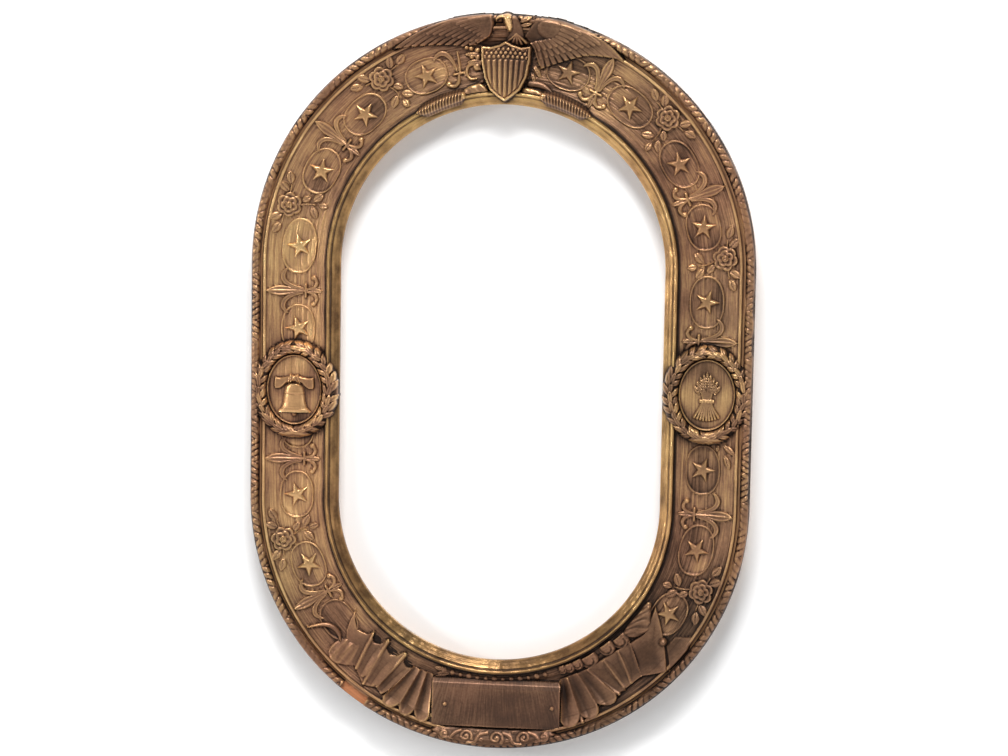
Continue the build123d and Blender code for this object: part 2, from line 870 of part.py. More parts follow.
medallion_stations = {
    "left_medallion": wreath_stations["left_wreath"],
    "right_medallion": wreath_stations["right_wreath"],
}
for name, station in medallion_stations.items():
    with BuildPart() as medallion:
        with BuildSketch(band_plane(station)):
            with Locations((0, wreath_across)):
                Ellipse(medallion_length / 2, medallion_breadth / 2)
        extrude(amount=medallion_height)
        with BuildSketch(band_plane(station)):
            with Locations((0, wreath_across)):
                Ellipse(medallion_length / 2, medallion_breadth / 2)
                Ellipse(
                    medallion_length / 2 - medallion_border,
                    medallion_breadth / 2 - medallion_border,
                    mode=Mode.SUBTRACT,
                )
        extrude(amount=medallion_rim_height)
        add(bed, mode=Mode.SUBTRACT)
    medallion.part.label = name
    export_step(medallion.part, "parts/" + name + ".step")

relief_base = medallion_height + glue_line
bell_side = [
    (-22.5, 16.6), (-20, 14.6), (-15, 12.2), (-7, 10.6), (0, 9.6), (3.2, 6.0),
]
yoke_side = [
    (12.5, 0), (12.5, 6), (11, 12), (9.5, 20), (-1, 19.5), (-1.5, 14.5), (3.0, 11.5), (5.0, 7),
]
bell_edge = [(x, wreath_across + y) for x, y in bell_side]
bell_edge = bell_edge + [(x, wreath_across - y) for x, y in reversed(bell_side)]
yoke_edge = [(x, wreath_across + y) for x, y in yoke_side]
yoke_edge = yoke_edge + [(x, wreath_across - y) for x, y in reversed(yoke_side[1:])]
left_front = band_plane(medallion_stations["left_medallion"])
with BuildPart() as bell:
    with BuildSketch(left_front.offset(relief_base)):
        with BuildLine():
            Polyline(*bell_edge, close=True)
        make_face()
        with Locations((-24, wreath_across)):
            Circle(3)
    extrude(amount=relief_height)
    with BuildSketch(left_front.offset(relief_base)):
        with BuildLine():
            Polyline(*yoke_edge, close=True)
        make_face()
    extrude(amount=relief_height * 0.75)
bell.part.label = "bell"
export_step(bell.part, "parts/bell.step")

right_front = band_plane(medallion_stations["right_medallion"])
with BuildPart() as wheat_sheaf:
    with BuildSketch(right_front.offset(relief_base)):
        with BuildLine():
            Polyline(
                (-24, wreath_across - 9),
                (-20, wreath_across - 13),
                (-8, wreath_across - 12),
                (6, wreath_across - 4.5),
                (22, wreath_across - 12),
                (25, wreath_across),
                (22, wreath_across + 12),
                (6, wreath_across + 4.5),
                (-8, wreath_across + 12),
                (-20, wreath_across + 13),
                (-24, wreath_across + 9),
                (-27, wreath_across),
                close=True,
            )
        make_face()
    extrude(amount=relief_height * 0.75)
    with BuildSketch(right_front.offset(relief_base)):
        with Locations((6, wreath_across)):
            Rectangle(5, 12)
    extrude(amount=relief_height)
wheat_sheaf.part.label = "wheat_sheaf"
export_step(wheat_sheaf.part, "parts/wheat_sheaf.step")

print("crest")
with BuildPart() as right_shoulder:
    extrude(band_face(right_shoulder_outline, 0, 0), amount=cut_depth, dir=to_viewer)
    add(high_cover, mode=Mode.INTERSECT)
with BuildPart() as eagle_right_wing:
    extrude(band_face(right_wing_outline, 0, 0), amount=cut_depth, dir=to_viewer)
    add(low_cover, mode=Mode.INTERSECT)
    add(right_shoulder.part)
    add(shield_room, mode=Mode.SUBTRACT)
eagle_right_wing.part.label = "eagle_right_wing"
export_step(eagle_right_wing.part, "parts/eagle_right_wing.step")

with BuildPart() as left_shoulder:
    extrude(band_face(left_shoulder_outline, 0, 0), amount=cut_depth, dir=to_viewer)
    add(high_cover, mode=Mode.INTERSECT)
with BuildPart() as eagle_left_wing:
    extrude(band_face(left_wing_outline, 0, 0), amount=cut_depth, dir=to_viewer)
    add(low_cover, mode=Mode.INTERSECT)
    add(left_shoulder.part)
    add(shield_room, mode=Mode.SUBTRACT)
eagle_left_wing.part.label = "eagle_left_wing"
export_step(eagle_left_wing.part, "parts/eagle_left_wing.step")

with BuildPart() as eagle_body:
    extrude(band_face(body_outline, 0, 0), amount=cut_depth, dir=to_viewer)
    add(high_cover, mode=Mode.INTERSECT)
    add(shield_room, mode=Mode.SUBTRACT)
    add(right_wing_room, mode=Mode.SUBTRACT)
    add(left_wing_room, mode=Mode.SUBTRACT)
eagle_body.part.label = "eagle_body"
export_step(eagle_body.part, "parts/eagle_body.step")

with BuildPart() as eagle_foot:
    extrude(band_face(foot_outline, 0, 0), amount=cut_depth, dir=to_viewer)
    add(low_cover, mode=Mode.INTERSECT)
    add(shield_room, mode=Mode.SUBTRACT)
    add(right_wing_room, mode=Mode.SUBTRACT)
    add(left_wing_room, mode=Mode.SUBTRACT)
eagle_foot.part.label = "eagle_foot"
export_step(eagle_foot.part, "parts/eagle_foot.step")

shield_height = 20.0
shield_stripe = 1.6
with BuildPart() as shield:
    extrude(band_face(shield_outline, 0, 0), amount=shield_height, dir=to_viewer)
    with BuildSketch(Plane.XZ.offset(shield_height)):
        for stripe in range(7):
            with Locations(place(1.5 + (stripe - 3) * 6.2, 26)):
                Rectangle(3.4, 24 - 3.0 * abs(stripe - 3))
    extrude(amount=shield_stripe)
    add(bed, mode=Mode.SUBTRACT)
shield.part.label = "shield"
export_step(shield.part, "parts/shield.step")


# A bundle along the band, rounded at one end and pointed at the other
def bundle_outline(start, stop, across, half):
    tip = (stop - start) / abs(stop - start)
    return [
        (start, across),
        (start + 2 * tip, across + half * 0.8),
        (start + 6 * tip, across + half),
        (stop - 16 * tip, across + half * 0.8),
        (stop, across + half * 0.2),
        (stop - 16 * tip, across - half * 0.8),
        (start + 6 * tip, across - half),
        (start + 2 * tip, across - half * 0.8),
    ]


bundle_ends = [(42.0, 104.0), (-44.0, -104.0)]
with BuildPart() as ribbed_bundles:
    for start, stop in bundle_ends:
        extrude(band_face(bundle_outline(start, stop, 11.5, 5.2), 0, 0), amount=cut_depth, dir=to_viewer)
    add(low_cover, mode=Mode.INTERSECT)
    add(shield_room, mode=Mode.SUBTRACT)
ribbed_bundles.part.label = "ribbed_bundles"
export_step(ribbed_bundles.part, "parts/ribbed_bundles.step")

print("base ornaments")


# A fold of cloth, from its gathered end to its round wide end
def fold_points(gather, wide, half):
    points = []
    long_s = wide[0] - gather[0]
    long_t = wide[1] - gather[1]
    size = math.hypot(long_s, long_t)
    unit_s = long_s / size
    unit_t = long_t / size
    for step in range(9):
        turn = math.pi / 2 - step * math.pi / 8
        forward = half * math.cos(turn)
        aside = half * math.sin(turn)
        points.append((
            wide[0] + unit_s * forward - unit_t * aside,
            wide[1] + unit_t * forward + unit_s * aside,
        ))
    points.append((gather[0] + unit_t * 1.2, gather[1] - unit_s * 1.2))
    points.append((gather[0] - unit_t * 1.2, gather[1] + unit_s * 1.2))
    return points


plate_middle_z = -(half_straight + sight_radius + plate_across)
with BuildPart() as plate_room:
    with BuildSketch(Plane.XZ):
        with Locations((plate_aside, plate_middle_z)):
            Rectangle(plate_length + 2 * glue_line, plate_breadth + 2 * glue_line)
    extrude(amount=cut_depth)

drapery_table = {
    "right_drapery": (right_sheet_outline, right_folds),
    "left_drapery": (left_sheet_outline, left_folds),
}
with BuildPart() as knob:
    extrude(knob_face(0), amount=cut_depth, dir=to_viewer)
    add(high_cover, mode=Mode.INTERSECT)

for name, cloth in drapery_table.items():
    with BuildPart() as folds:
        for gather, wide, half in cloth[1]:
            fold_face = band_face(fold_points(gather, wide, half), bottom_mark, 0)
            extrude(fold_face, amount=cut_depth, dir=to_viewer)
        add(high_cover, mode=Mode.INTERSECT)
    with BuildPart() as drapery:
        extrude(band_face(cloth[0], bottom_mark, 0), amount=cut_depth, dir=to_viewer)
        add(low_cover, mode=Mode.INTERSECT)
        add(folds.part)
        if name == "right_drapery":
            add(knob.part)
        add(plate_room.part, mode=Mode.SUBTRACT)
    drapery.part.label = name
    export_step(drapery.part, "parts/" + name + ".step")

pin_radius = 1.6
pin_points = [(pin_middle - pin_apart / 2, plate_middle_z), (pin_middle + pin_apart / 2, plate_middle_z)]
plate_field = plate_height - plate_field_depth
with BuildPart() as nameplate:
    with BuildSketch(Plane.XZ):
        with Locations((plate_aside, plate_middle_z)):
            Rectangle(plate_length, plate_breadth)
    extrude(amount=plate_height)
    with BuildSketch(Plane.XZ.offset(plate_field)):
        with Locations((plate_aside, plate_middle_z)):
            Rectangle(plate_length - 2 * plate_border, plate_breadth - 2 * plate_border)
    extrude(amount=plate_field_depth + 1, mode=Mode.SUBTRACT)
    with BuildSketch(Plane.XZ):
        with Locations(*pin_points):
            Circle(pin_radius + thread_gap)
    extrude(amount=cut_depth, mode=Mode.SUBTRACT)
    add(bed, mode=Mode.SUBTRACT)
nameplate.part.label = "nameplate"
export_step(nameplate.part, "parts/nameplate.step")

with BuildPart() as nameplate_pins:
    with BuildSketch(Plane.XZ):
        with Locations(*pin_points):
            Circle(pin_radius)
    extrude(amount=plate_field)
    with BuildSketch(Plane.XZ.offset(plate_field + glue_line)):
        with Locations(*pin_points):
            Circle(pin_radius * 1.7)
    extrude(amount=1.4)
    with BuildSketch(Plane.XZ.offset(plate_field)):
        with Locations(*pin_points):
            Circle(pin_radius)
    extrude(amount=glue_line)
    add(bed, mode=Mode.SUBTRACT)
nameplate_pins.part.label = "nameplate_pins"
export_step(nameplate_pins.part, "parts/nameplate_pins.step")

scroll_outline = [
    (-50, 77), (-44, 82), (-30, 85), (0, 86.4), (30, 85), (44, 82), (50, 77),
    (36, 72.5), (18, 70), (0, 69.2), (-18, 70), (-36, 72.5),
]
with BuildPart() as scroll_ornament:
    extrude(band_face(scroll_outline, bottom_mark, 0), amount=cut_depth, dir=to_viewer)
    add(low_cover, mode=Mode.INTERSECT)
    add(plate_room.part, mode=Mode.SUBTRACT)
scroll_ornament.part.label = "scroll_ornament"
export_step(scroll_ornament.part, "parts/scroll_ornament.step")

string_across = 18.2
string_half = 2.6
string_count = 18
string_reach = 58.0
with BuildPart() as bead_string:
    with BuildSketch(Plane.XZ):
        for bead in range(string_count):
            offset_along = -string_reach + bead * 2 * string_reach / (string_count - 1)
            with Locations(place(bottom_mark + offset_along, string_across)):
                Circle(string_half)
        with BuildLine():
            steps = [-string_reach + bead * string_reach / 6 for bead in range(13)]
            lower = [place(bottom_mark + step, string_across - 1.6) for step in steps]
            upper = [place(bottom_mark + step, string_across + 1.6) for step in reversed(steps)]
            Polyline(*lower, *upper, close=True)
        make_face()
    extrude(amount=cut_depth)
    add(leaf_cover, mode=Mode.INTERSECT)
bead_string.part.label = "bead_string"
export_step(bead_string.part, "parts/bead_string.step")

border_scallops = [
    (-175, 24, 6.0), (-163, 25, 6.5), (-150, 23, 6.0),
    (-136, 20, 5.5), (-122, 20, 6.0), (-108, 19.5, 5.5), (-95, 19.5, 5.5), (-83, 20, 5.0),
]
with BuildPart() as leaf_border:
    with BuildSketch(Plane.XZ):
        for along, across, radius in border_scallops:
            with Locations(place(bottom_mark + along, across)):
                Circle(radius)
        with BuildLine():
            lower = [place(bottom_mark + along, across - 2) for along, across, radius in border_scallops]
            upper = [place(bottom_mark + along, across + 2) for along, across, radius in border_scallops]
            upper.reverse()
            Polyline(*lower, *upper, close=True)
        make_face()
    extrude(amount=cut_depth)
    add(leaf_cover, mode=Mode.INTERSECT)
    for block in rooms_near(top_rooms, bottom_mark - 130.0, 50.0):
        add(block, mode=Mode.SUBTRACT)
leaf_border.part.label = "leaf_border"
export_step(leaf_border.part, "parts/leaf_border.step")

print("back hardware")
button_names = [
    "turn_button_upper_left",
    "turn_button_upper_right",
    "turn_button_lower_left",
    "turn_button_lower_right",
]
button_tail = button_reach - button_half_width
for name, point in zip(button_names, button_points):
    with BuildPart() as turn_button:
        with BuildSketch(Plane.XZ.offset(-button_back - button_thickness)):
            with Locations(point, (point[0], point[1] - button_tail)):
                Circle(button_half_width)
            with Locations((point[0], point[1] - button_tail / 2)):
                Rectangle(2 * button_half_width, button_tail)
            with Locations(point):
                Circle(screw_radius + running_gap, mode=Mode.SUBTRACT)
        extrude(amount=button_thickness)
    turn_button.part.label = name
    export_step(turn_button.part, "parts/" + name + ".step")

strap_head_seat = strap_back + strap_thickness + running_gap
with BuildPart() as hanger_straps:
    for side in (-1, 1):
        middle = side * hanger_x
        with BuildSketch(Plane.XZ.offset(-strap_back - strap_thickness)):
            with Locations((middle, strap_bottom + strap_length / 2)):
                Rectangle(strap_width, strap_length)
        extrude(amount=strap_thickness)
        with BuildSketch(Plane.YZ.offset(middle - strap_width / 2)):
            with Locations((barrel_depth, strap_bottom)):
                Circle(barrel_radius)
        extrude(amount=strap_width)
        with BuildSketch(Plane.YZ.offset(middle - strap_width)):
            with Locations((barrel_depth, strap_bottom)):
                Circle(barrel_bore)
        extrude(amount=2 * strap_width, mode=Mode.SUBTRACT)
    with BuildSketch(Plane.XZ):
        with Locations(*strap_points):
            Circle(screw_radius + running_gap)
    extrude(amount=-cut_depth, mode=Mode.SUBTRACT)
hanger_straps.part.label = "hanger_straps"
export_step(hanger_straps.part, "parts/hanger_straps.step")

with BuildPart() as back_screws:
    for seat, points in ((button_head_seat, button_points), (strap_head_seat, strap_points)):
        with BuildSketch(Plane.XZ.offset(-seat)):
            with Locations(*points):
                Circle(screw_radius)
        extrude(amount=screw_length)
        with BuildSketch(Plane.XZ.offset(-seat - screw_head_height)):
            with Locations(*points):
                Circle(screw_head_radius)
        extrude(amount=screw_head_height)
back_screws.part.label = "back_screws"
export_step(back_screws.part, "parts/back_screws.step")

ring_half = ring_inner_width / 2 + ring_wire_radius
for name, side in (("left_d_ring", -1), ("right_d_ring", 1)):
    middle = side * hanger_x
    ring_plane = Plane.XZ.offset(-barrel_depth)
    bar_left = (middle - ring_half, strap_bottom)
    bar_right = (middle + ring_half, strap_bottom)
    with BuildPart() as d_ring:
        with BuildLine(ring_plane) as bow:
            ThreePointArc(bar_left, (middle, strap_bottom - ring_drop), bar_right)
        with BuildSketch(Plane(origin=bow.line @ 0, z_dir=bow.line % 0)):
            Circle(ring_wire_radius)
        sweep(path=bow.line)
        with BuildSketch(Plane.YZ.offset(middle - ring_half)):
            with Locations((barrel_depth, strap_bottom)):
                Circle(ring_wire_radius)
        extrude(amount=2 * ring_half)
        with Locations((middle - ring_half, barrel_depth, strap_bottom)):
            Sphere(ring_wire_radius)
        with Locations((middle + ring_half, barrel_depth, strap_bottom)):
            Sphere(ring_wire_radius)
    d_ring.part.label = name
    export_step(d_ring.part, "parts/" + name + ".step")

print("done", round(perimeter, 2), round(outer_radius, 2))
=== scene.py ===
import bpy
import math
import numpy as np
from mathutils import Matrix, Vector


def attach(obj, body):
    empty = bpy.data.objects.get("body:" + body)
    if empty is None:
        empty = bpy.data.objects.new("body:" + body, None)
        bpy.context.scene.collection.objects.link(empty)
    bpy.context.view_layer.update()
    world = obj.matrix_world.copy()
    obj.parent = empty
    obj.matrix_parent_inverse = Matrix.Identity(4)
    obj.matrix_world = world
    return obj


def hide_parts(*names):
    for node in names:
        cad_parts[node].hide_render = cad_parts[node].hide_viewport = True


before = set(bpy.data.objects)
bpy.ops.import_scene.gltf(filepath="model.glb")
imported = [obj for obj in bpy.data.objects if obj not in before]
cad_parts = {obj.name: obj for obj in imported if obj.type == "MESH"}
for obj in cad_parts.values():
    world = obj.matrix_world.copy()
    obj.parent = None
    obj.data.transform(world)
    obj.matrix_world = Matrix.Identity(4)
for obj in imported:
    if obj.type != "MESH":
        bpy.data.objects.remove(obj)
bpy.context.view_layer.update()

# Sizes of the moulding in millimetres, as the frame has them
mm = 0.001
sight_radius = 158.75
half_straight = 114.3
band_width = 87.0
rebate_depth = 14.0
rebate_across = 7.85
liner_width = 13.0
cove_start = 13.25
cove_end = 72.0
cove_radius = 89.29
cove_axis_across = 36.19
cove_axis_height = 94.79
fillet_end = 75.0
fillet_height = 15.0
rim_start = 77.5
rim_seat_height = 11.0
rim_base_height = 11.25
rim_center_height = 12.75
rim_round = 4.75
straight = 2 * half_straight
middle_radius = sight_radius + band_width / 2
quarter_turn = middle_radius * math.pi / 2
perimeter = 4 * quarter_turn + 2 * straight
right_mark = quarter_turn + half_straight
bottom_mark = perimeter / 2
left_mark = perimeter - right_mark
rim_middle = band_width - rim_round
chip_start = bottom_mark + 113.0
chip_end = bottom_mark + 137.0

# The map of the front: rows run along the band, columns across it
pitch = 0.6
row_count = round(perimeter / pitch)
row_pitch = perimeter / row_count
map_low = -3.0
map_high = 90.0
column_count = round((map_high - map_low) / pitch) + 1
buried = 0.6
nowhere = -30.0


# The point of the front at a station along the band and a distance across it
def place(station, across):
    along = np.mod(station, perimeter)
    right = np.clip(along - quarter_turn, 0, straight)
    left = np.clip(along - 3 * quarter_turn - straight, 0, straight)
    turn = (along - right - left) / middle_radius
    radius = sight_radius + across
    return radius * np.sin(turn), radius * np.cos(turn) + half_straight - right + left, turn


# Noise that repeats round the band, smooth over the given lengths along and across it
def band_noise(seed, along, across):
    grain = np.random.default_rng(seed).standard_normal((row_count, column_count))
    grain = blurred(grain, along, across)
    return grain / grain.std()


def blurred(field, along, across):
    pad = column_count
    wide = np.concatenate([field[:, ::-1], field, field[:, ::-1]], axis=1)
    rows = np.fft.fftfreq(wide.shape[0], row_pitch)
    columns = np.fft.fftfreq(wide.shape[1], pitch)
    fall = np.exp(-2 * (math.pi * along * rows) ** 2)[:, None]
    fall = fall * np.exp(-2 * (math.pi * across * columns) ** 2)[None, :]
    return np.real(np.fft.ifft2(np.fft.fft2(wide) * fall))[:, pad:2 * pad]


def step(low, high, value):
    share = np.clip((value - low) / (high - low), 0, 1)
    return share * share * (3 - 2 * share)


# One in the middle, falling away over the given width
def hump(apart, width):
    return np.exp(-(apart / width) ** 2)


# A round arch, one high in the middle and down to nothing at one
def arch(share, power=2):
    return np.sqrt(np.maximum(1 - share ** power, 0))


# Plain heights of the moulding across the band: the liner is a slope with a step before a round ridge
liner_edge_height = 4.0
liner_slope = 8.6 / 9.5
liner_step_depth = 1.1
ridge_start = 8.6
ridge_middle = 10.8
ridge_half = 2.3
ridge_base = 11.0
ridge_rise = 2.6
ridge_foot = 10.2


def liner_profile(across):
    slope = liner_edge_height + across * liner_slope - liner_step_depth * step(6.6, 8.4, across)
    ridge = ridge_base + ridge_rise * arch((across - ridge_middle) / ridge_half)
    return np.where(across < ridge_start, slope, np.maximum(ridge, ridge_foot))


def cove_profile(across):
    return cove_axis_height - np.sqrt(cove_radius ** 2 - (across - cove_axis_across) ** 2)


def fillet_profile(across):
    middle = (cove_end + fillet_end) / 2
    return fillet_height - 1.2 * np.maximum(np.abs(across - middle) - 0.7, 0) ** 2


def rim_profile(across):
    share = np.clip((across - rim_middle) / rim_round, -1, 1)
    return rim_center_height + rim_round * arch(share)


# Heights of the moulding without carving and hammer marks, which the ornaments follow
outer_acrosses = (64.0, 70.0, 78.0, 82.0, 85.0, band_width)
outer_heights = (9.7, 12.4, 16.2, 17.2, 16.6, 13.5)


def smooth_moulding(across):
    outer = np.interp(across, outer_acrosses, outer_heights)
    cove = cove_profile(np.minimum(across, outer_acrosses[1]))
    inner = np.where(across < liner_width, liner_profile(np.maximum(across, 0)), cove)
    return np.where(across < outer_acrosses[0], inner, outer)


# Carving of the rim: small slanted lobes, four one way and four the other
rim_repeats = 37
rim_period = perimeter / rim_repeats
lobes_each_way = 4
lobe_slant = 0.09
lobe_reach = 3.7
lobe_depth = 2.2


def rim_lobe(station, across):
    half = rim_period / 2
    part = np.mod(station, rim_period)
    aside = across - rim_middle + 0.4
    lean = np.where(part < half, lobe_slant, -lobe_slant)
    turn = np.mod(np.mod(part, half) / half * lobes_each_way + lean * aside, 1)
    return np.sqrt(np.maximum(1 - (2 * turn - 1) ** 2 - (aside / lobe_reach) ** 4, 0))


stations, acrosses = np.meshgrid(
    np.arange(row_count) * row_pitch, map_low + np.arange(column_count) * pitch, indexing="ij"
)
grain = 0.16 * band_noise(3, 16.0, 0.7) + 0.10 * band_noise(5, 7.0, 0.35)
hammer = 0.16 * band_noise(7, 3.2, 2.6) + 0.08 * band_noise(8, 1.4, 1.2)
wander = 0.26 * band_noise(9, 4.0, 8.0)
carving_wear = 0.22 * band_noise(11, 3.0, 2.0)
carving_share = np.clip(0.75 + 0.30 * band_noise(14, 6.0, 4.0), 0.25, 1.2)
blotches = band_noise(12, 5.0, 1.6)
mottle = band_noise(13, 8.0, 5.0)

ground = np.where(acrosses < 0, 1.0, rim_base_height) + 0 * stations
on_liner = (acrosses >= 0) & (acrosses <= liner_width)
on_field = (acrosses > liner_width) & (acrosses < cove_end)
on_fillet = (acrosses >= cove_end) & (acrosses <= fillet_end)
on_groove = (acrosses > fillet_end) & (acrosses < rim_start)
on_rim = (acrosses >= rim_start) & (acrosses <= band_width)
hammered = hammer * step(0, 2, acrosses) + wander * step(7, 10, acrosses)
ground = np.where(on_liner, liner_profile(acrosses) + hammered, ground)
ground = np.where(on_field, cove_profile(acrosses) + grain, ground)
ground = np.where(on_fillet, fillet_profile(acrosses) + 0.5 * wander, ground)
ground = np.where(on_groove, rim_seat_height + 1.0, ground)
lobes = rim_lobe(stations, acrosses)
carved = rim_profile(acrosses) - lobe_depth * carving_share * (1 - lobes) + carving_wear
ground = np.where(on_rim, carved, ground)
chipped = on_rim & (stations > chip_start) & (stations < chip_end)
ground = np.where(chipped, rim_seat_height + 0.3 * grain, ground)
top = ground.copy()

# Tone of the moulding: darker towards the bottom, painted shade on the right away from the light, a painted
# highlight along the liner's ridge, rubbed rim lobes, brighter and darker stretches
darkening_depth = -0.3
darkening_top = -100.0
darkening_bottom = -330.0
bright_ridge_across = 10.4
bright_arch_station = 112.0
crest_dark_start = 85.0
crest_dark_end = 100.0
front_z, front_turn = place(stations, acrosses)[1:]
rightward, upward = np.sin(front_turn), np.cos(front_turn)
# Darker towards the bottom, and more so on the right, where it is painted shade away from the light;
# ornaments get the same, with more painted shade on the right
low_and_right_darkening = darkening_depth * step(darkening_top, darkening_bottom, front_z) * (1 + 0.9 * rightward)
ornament_darkening = low_and_right_darkening - 0.08 * np.maximum(rightward, 0)
# Painted highlight along the top of the liner's ridge, stronger at the lower right, with painted shade over
# the rest of the ridge
painted_ridge_highlight = 1.1 * hump(acrosses - bright_ridge_across, 0.75) - 0.55 * step(8, 9, acrosses)
painted_ridge_highlight *= 1 + 0.45 * hump(front_turn - 2.5, 0.5)
# Liner lighter at the top and darker at the bottom, painted light on its right side and painted shade on its
# left, with random blotches
liner_wear_and_light = -0.18 + 0.19 * upward + 0.18 * rightward + painted_ridge_highlight + 0.12 * blotches
# Field: painted light on the left side, a lighter stretch on the right and painted shade at the lower right,
# a brighter stretch by the crest, random mottle, and painted shade along the foot of the cove's step
field_wear_and_light = 0.40 * hump(front_turn - 1.5 * math.pi, 0.75)
field_wear_and_light += 0.2 * hump(front_turn - 1.5, 0.35) - 0.4 * hump(front_turn - 2.1, 0.4)
field_wear_and_light += 0.25 * hump(stations - bright_arch_station, 25.0)
field_wear_and_light += 0.08 * mottle - 0.9 * hump(acrosses - cove_start - 0.8, 1.3)
# Fillet: painted shade on the right side and near the crest, with random blotches
crest_reach = np.minimum(stations, perimeter - stations)
crest_shade = 0.5 * step(crest_dark_end, crest_dark_start, crest_reach)
fillet_wear_and_shade = -0.05 - 0.1 * rightward - crest_shade + 0.1 * blotches
ground_rub_and_light = np.where(on_liner, liner_wear_and_light, 0.0)
ground_rub_and_light = np.where(on_field, field_wear_and_light, ground_rub_and_light)
ground_rub_and_light = np.where(on_fillet, fillet_wear_and_shade, ground_rub_and_light)
rim_wear = 0.6 * carving_share * (lobes - 0.75) + 0.45 * step(79.2, 78.2, acrosses)
ground_rub_and_light = np.where(on_rim, rim_wear, ground_rub_and_light) + np.where(on_liner, 0.3 * low_and_right_darkening, low_and_right_darkening)
rub_and_light_map = ground_rub_and_light.copy()


# A piece of the front: its own heights over the map, in band and in flat coordinates
class Patch:
    def __init__(self, station, low, high, inner=map_low, outer=map_high):
        first = math.floor((station + low) / row_pitch)
        last = math.ceil((station + high) / row_pitch)
        self.rows = np.arange(first, last + 1)
        self.columns = np.arange(round((inner - map_low) / pitch), round((outer - map_low) / pitch) + 1)
        self.s, self.t = np.meshgrid(
            self.rows * row_pitch - station, map_low + self.columns * pitch, indexing="ij"
        )
        self.x, self.z = place(self.s + station, self.t)[:2]
        near_x, near_z, turn = place(station, 0.0)
        self.u = (self.x - near_x) * np.cos(turn) - (self.z - near_z) * np.sin(turn)
        self.v = (self.x - near_x) * np.sin(turn) + (self.z - near_z) * np.cos(turn)
        self.index = np.ix_(self.rows % row_count, self.columns)
        self.base = ground[self.index]
        self.plain = smooth_moulding(self.t)
        self.height = np.full(self.s.shape, nowhere)
        self.rub_and_light = np.zeros(self.s.shape)

    # Raise the piece to heights over the glass seat, or over the moulding, with rubbed brightness and painted
    # light
    def reach(self, height, rub_and_light=0.0):
        higher = height > self.height
        self.height = np.where(higher, height, self.height)
        self.rub_and_light = np.where(higher, rub_and_light, self.rub_and_light)

    def rise(self, rise, rub_and_light=0.0):
        self.reach(self.plain + rise, rub_and_light)


def rounded(gauge, tall):
    return tall * np.where(gauge < 1, arch(gauge), 1.5 * (1 - gauge))


def steep_edged(gauge, tall):
    return np.where(gauge < 1, tall * arch(gauge, 8), 6 * (1 - gauge))


def cushion(inside, edge, tall):
    share = 1 - np.clip(inside / edge, 0, 1)
    return np.where(inside > 0, tall * arch(share), 2.0 * inside)


def dome(u, v, middle, radius, tall):
    return rounded(np.hypot(u - middle[0], v - middle[1]) / radius, tall)


# A smooth line through points
def smooth(points, pieces=6):
    ends = [points[0]] + list(points) + [points[-1]]
    line = []
    for first, second, third, fourth in zip(ends, ends[1:], ends[2:], ends[3:]):
        for part in range(pieces):
            f = part / pieces
            line.append(tuple(
                0.5 * (
                    2 * b + (c - a) * f + (2 * a - 5 * b + 4 * c - d) * f * f
                    + (3 * b - a - 3 * c + d) * f ** 3
                )
                for a, b, c, d in zip(first, second, third, fourth)
            ))
    line.append(tuple(points[-1]))
    return line


# How far a point is from the middle line of a strip, one being its edge, and how far along it
def strip(u, v, points):
    gauge = np.full(u.shape, 99.0)
    along = np.zeros(u.shape)
    count = len(points) - 1
    for number in range(count):
        first, second = points[number], points[number + 1]
        du, dv = second[0] - first[0], second[1] - first[1]
        share = ((u - first[0]) * du + (v - first[1]) * dv) / max(du * du + dv * dv, 1e-9)
        share = np.clip(share, 0, 1)
        half = first[2] + (second[2] - first[2]) * share
        apart = np.hypot(u - first[0] - share * du, v - first[1] - share * dv) / np.maximum(half, 0.05)
        nearer = apart < gauge
        gauge = np.where(nearer, apart, gauge)
        along = np.where(nearer, (number + share) / count, along)
    return gauge, along


# Where a point lies in a pointed leaf: one at its edge, how far along it, and how far from the midrib
def leaf_gauge(u, v, stalk, tip, half):
    du, dv = tip[0] - stalk[0], tip[1] - stalk[1]
    size = math.hypot(du, dv)
    along = ((u - stalk[0]) * du + (v - stalk[1]) * dv) / size ** 2
    aside = ((v - stalk[1]) * du - (u - stalk[0]) * dv) / size
    wide = half * np.sin(math.pi * np.clip(along, 0.01, 0.99)) ** 0.75
    return np.maximum(np.abs(aside) / wide, np.abs(2 * along - 1)), along * size, aside


# A pointed leaf with a sunk midrib and side veins
def leaf(u, v, stalk, tip, half, tall):
    gauge, along, aside = leaf_gauge(u, v, stalk, tip, half)
    vein = 0.22 * np.sin(2 * math.pi * (along - 1.2 * np.abs(aside)) / 2.6)
    rib = 0.8 * hump(aside, 0.6)
    body = rounded(gauge, tall)
    return np.where(gauge < 1, body + (vein - rib) * (1 - gauge ** 4), body)


# A rounded cord through points, and a set of leaves, raised on a patch
def raise_cord(patch, u, v, points, tall, rub_and_light=0.0):
    patch.rise(rounded(strip(u, v, smooth(points))[0], tall), rub_and_light)


def raise_leaves(patch, u, v, leaves, tall, rub_and_light=0.0):
    for stalk, tip, half in leaves:
        patch.rise(leaf(u, v, stalk, tip, half, tall), rub_and_light)


# Distance inside an outline, negative outside
def depth(u, v, points):
    nearest = np.full(u.shape, 1e6)
    inside = np.zeros(u.shape, bool)
    for first, second in zip(points, points[1:] + points[:1]):
        du, dv = second[0] - first[0], second[1] - first[1]
        share = np.clip(((u - first[0]) * du + (v - first[1]) * dv) / (du * du + dv * dv), 0, 1)
        nearest = np.minimum(nearest, np.hypot(u - first[0] - share * du, v - first[1] - share * dv))
        if dv != 0:
            crosses = (first[1] > v) != (second[1] > v)
            inside ^= crosses & (u < first[0] + (v - first[1]) * du / dv)
    return np.where(inside, nearest, -nearest)


# A closed outline rounded through its points
def smooth_outline(points):
    line = smooth(points[-2:] + points + points[:2])
    return line[12:12 + 6 * len(points)]


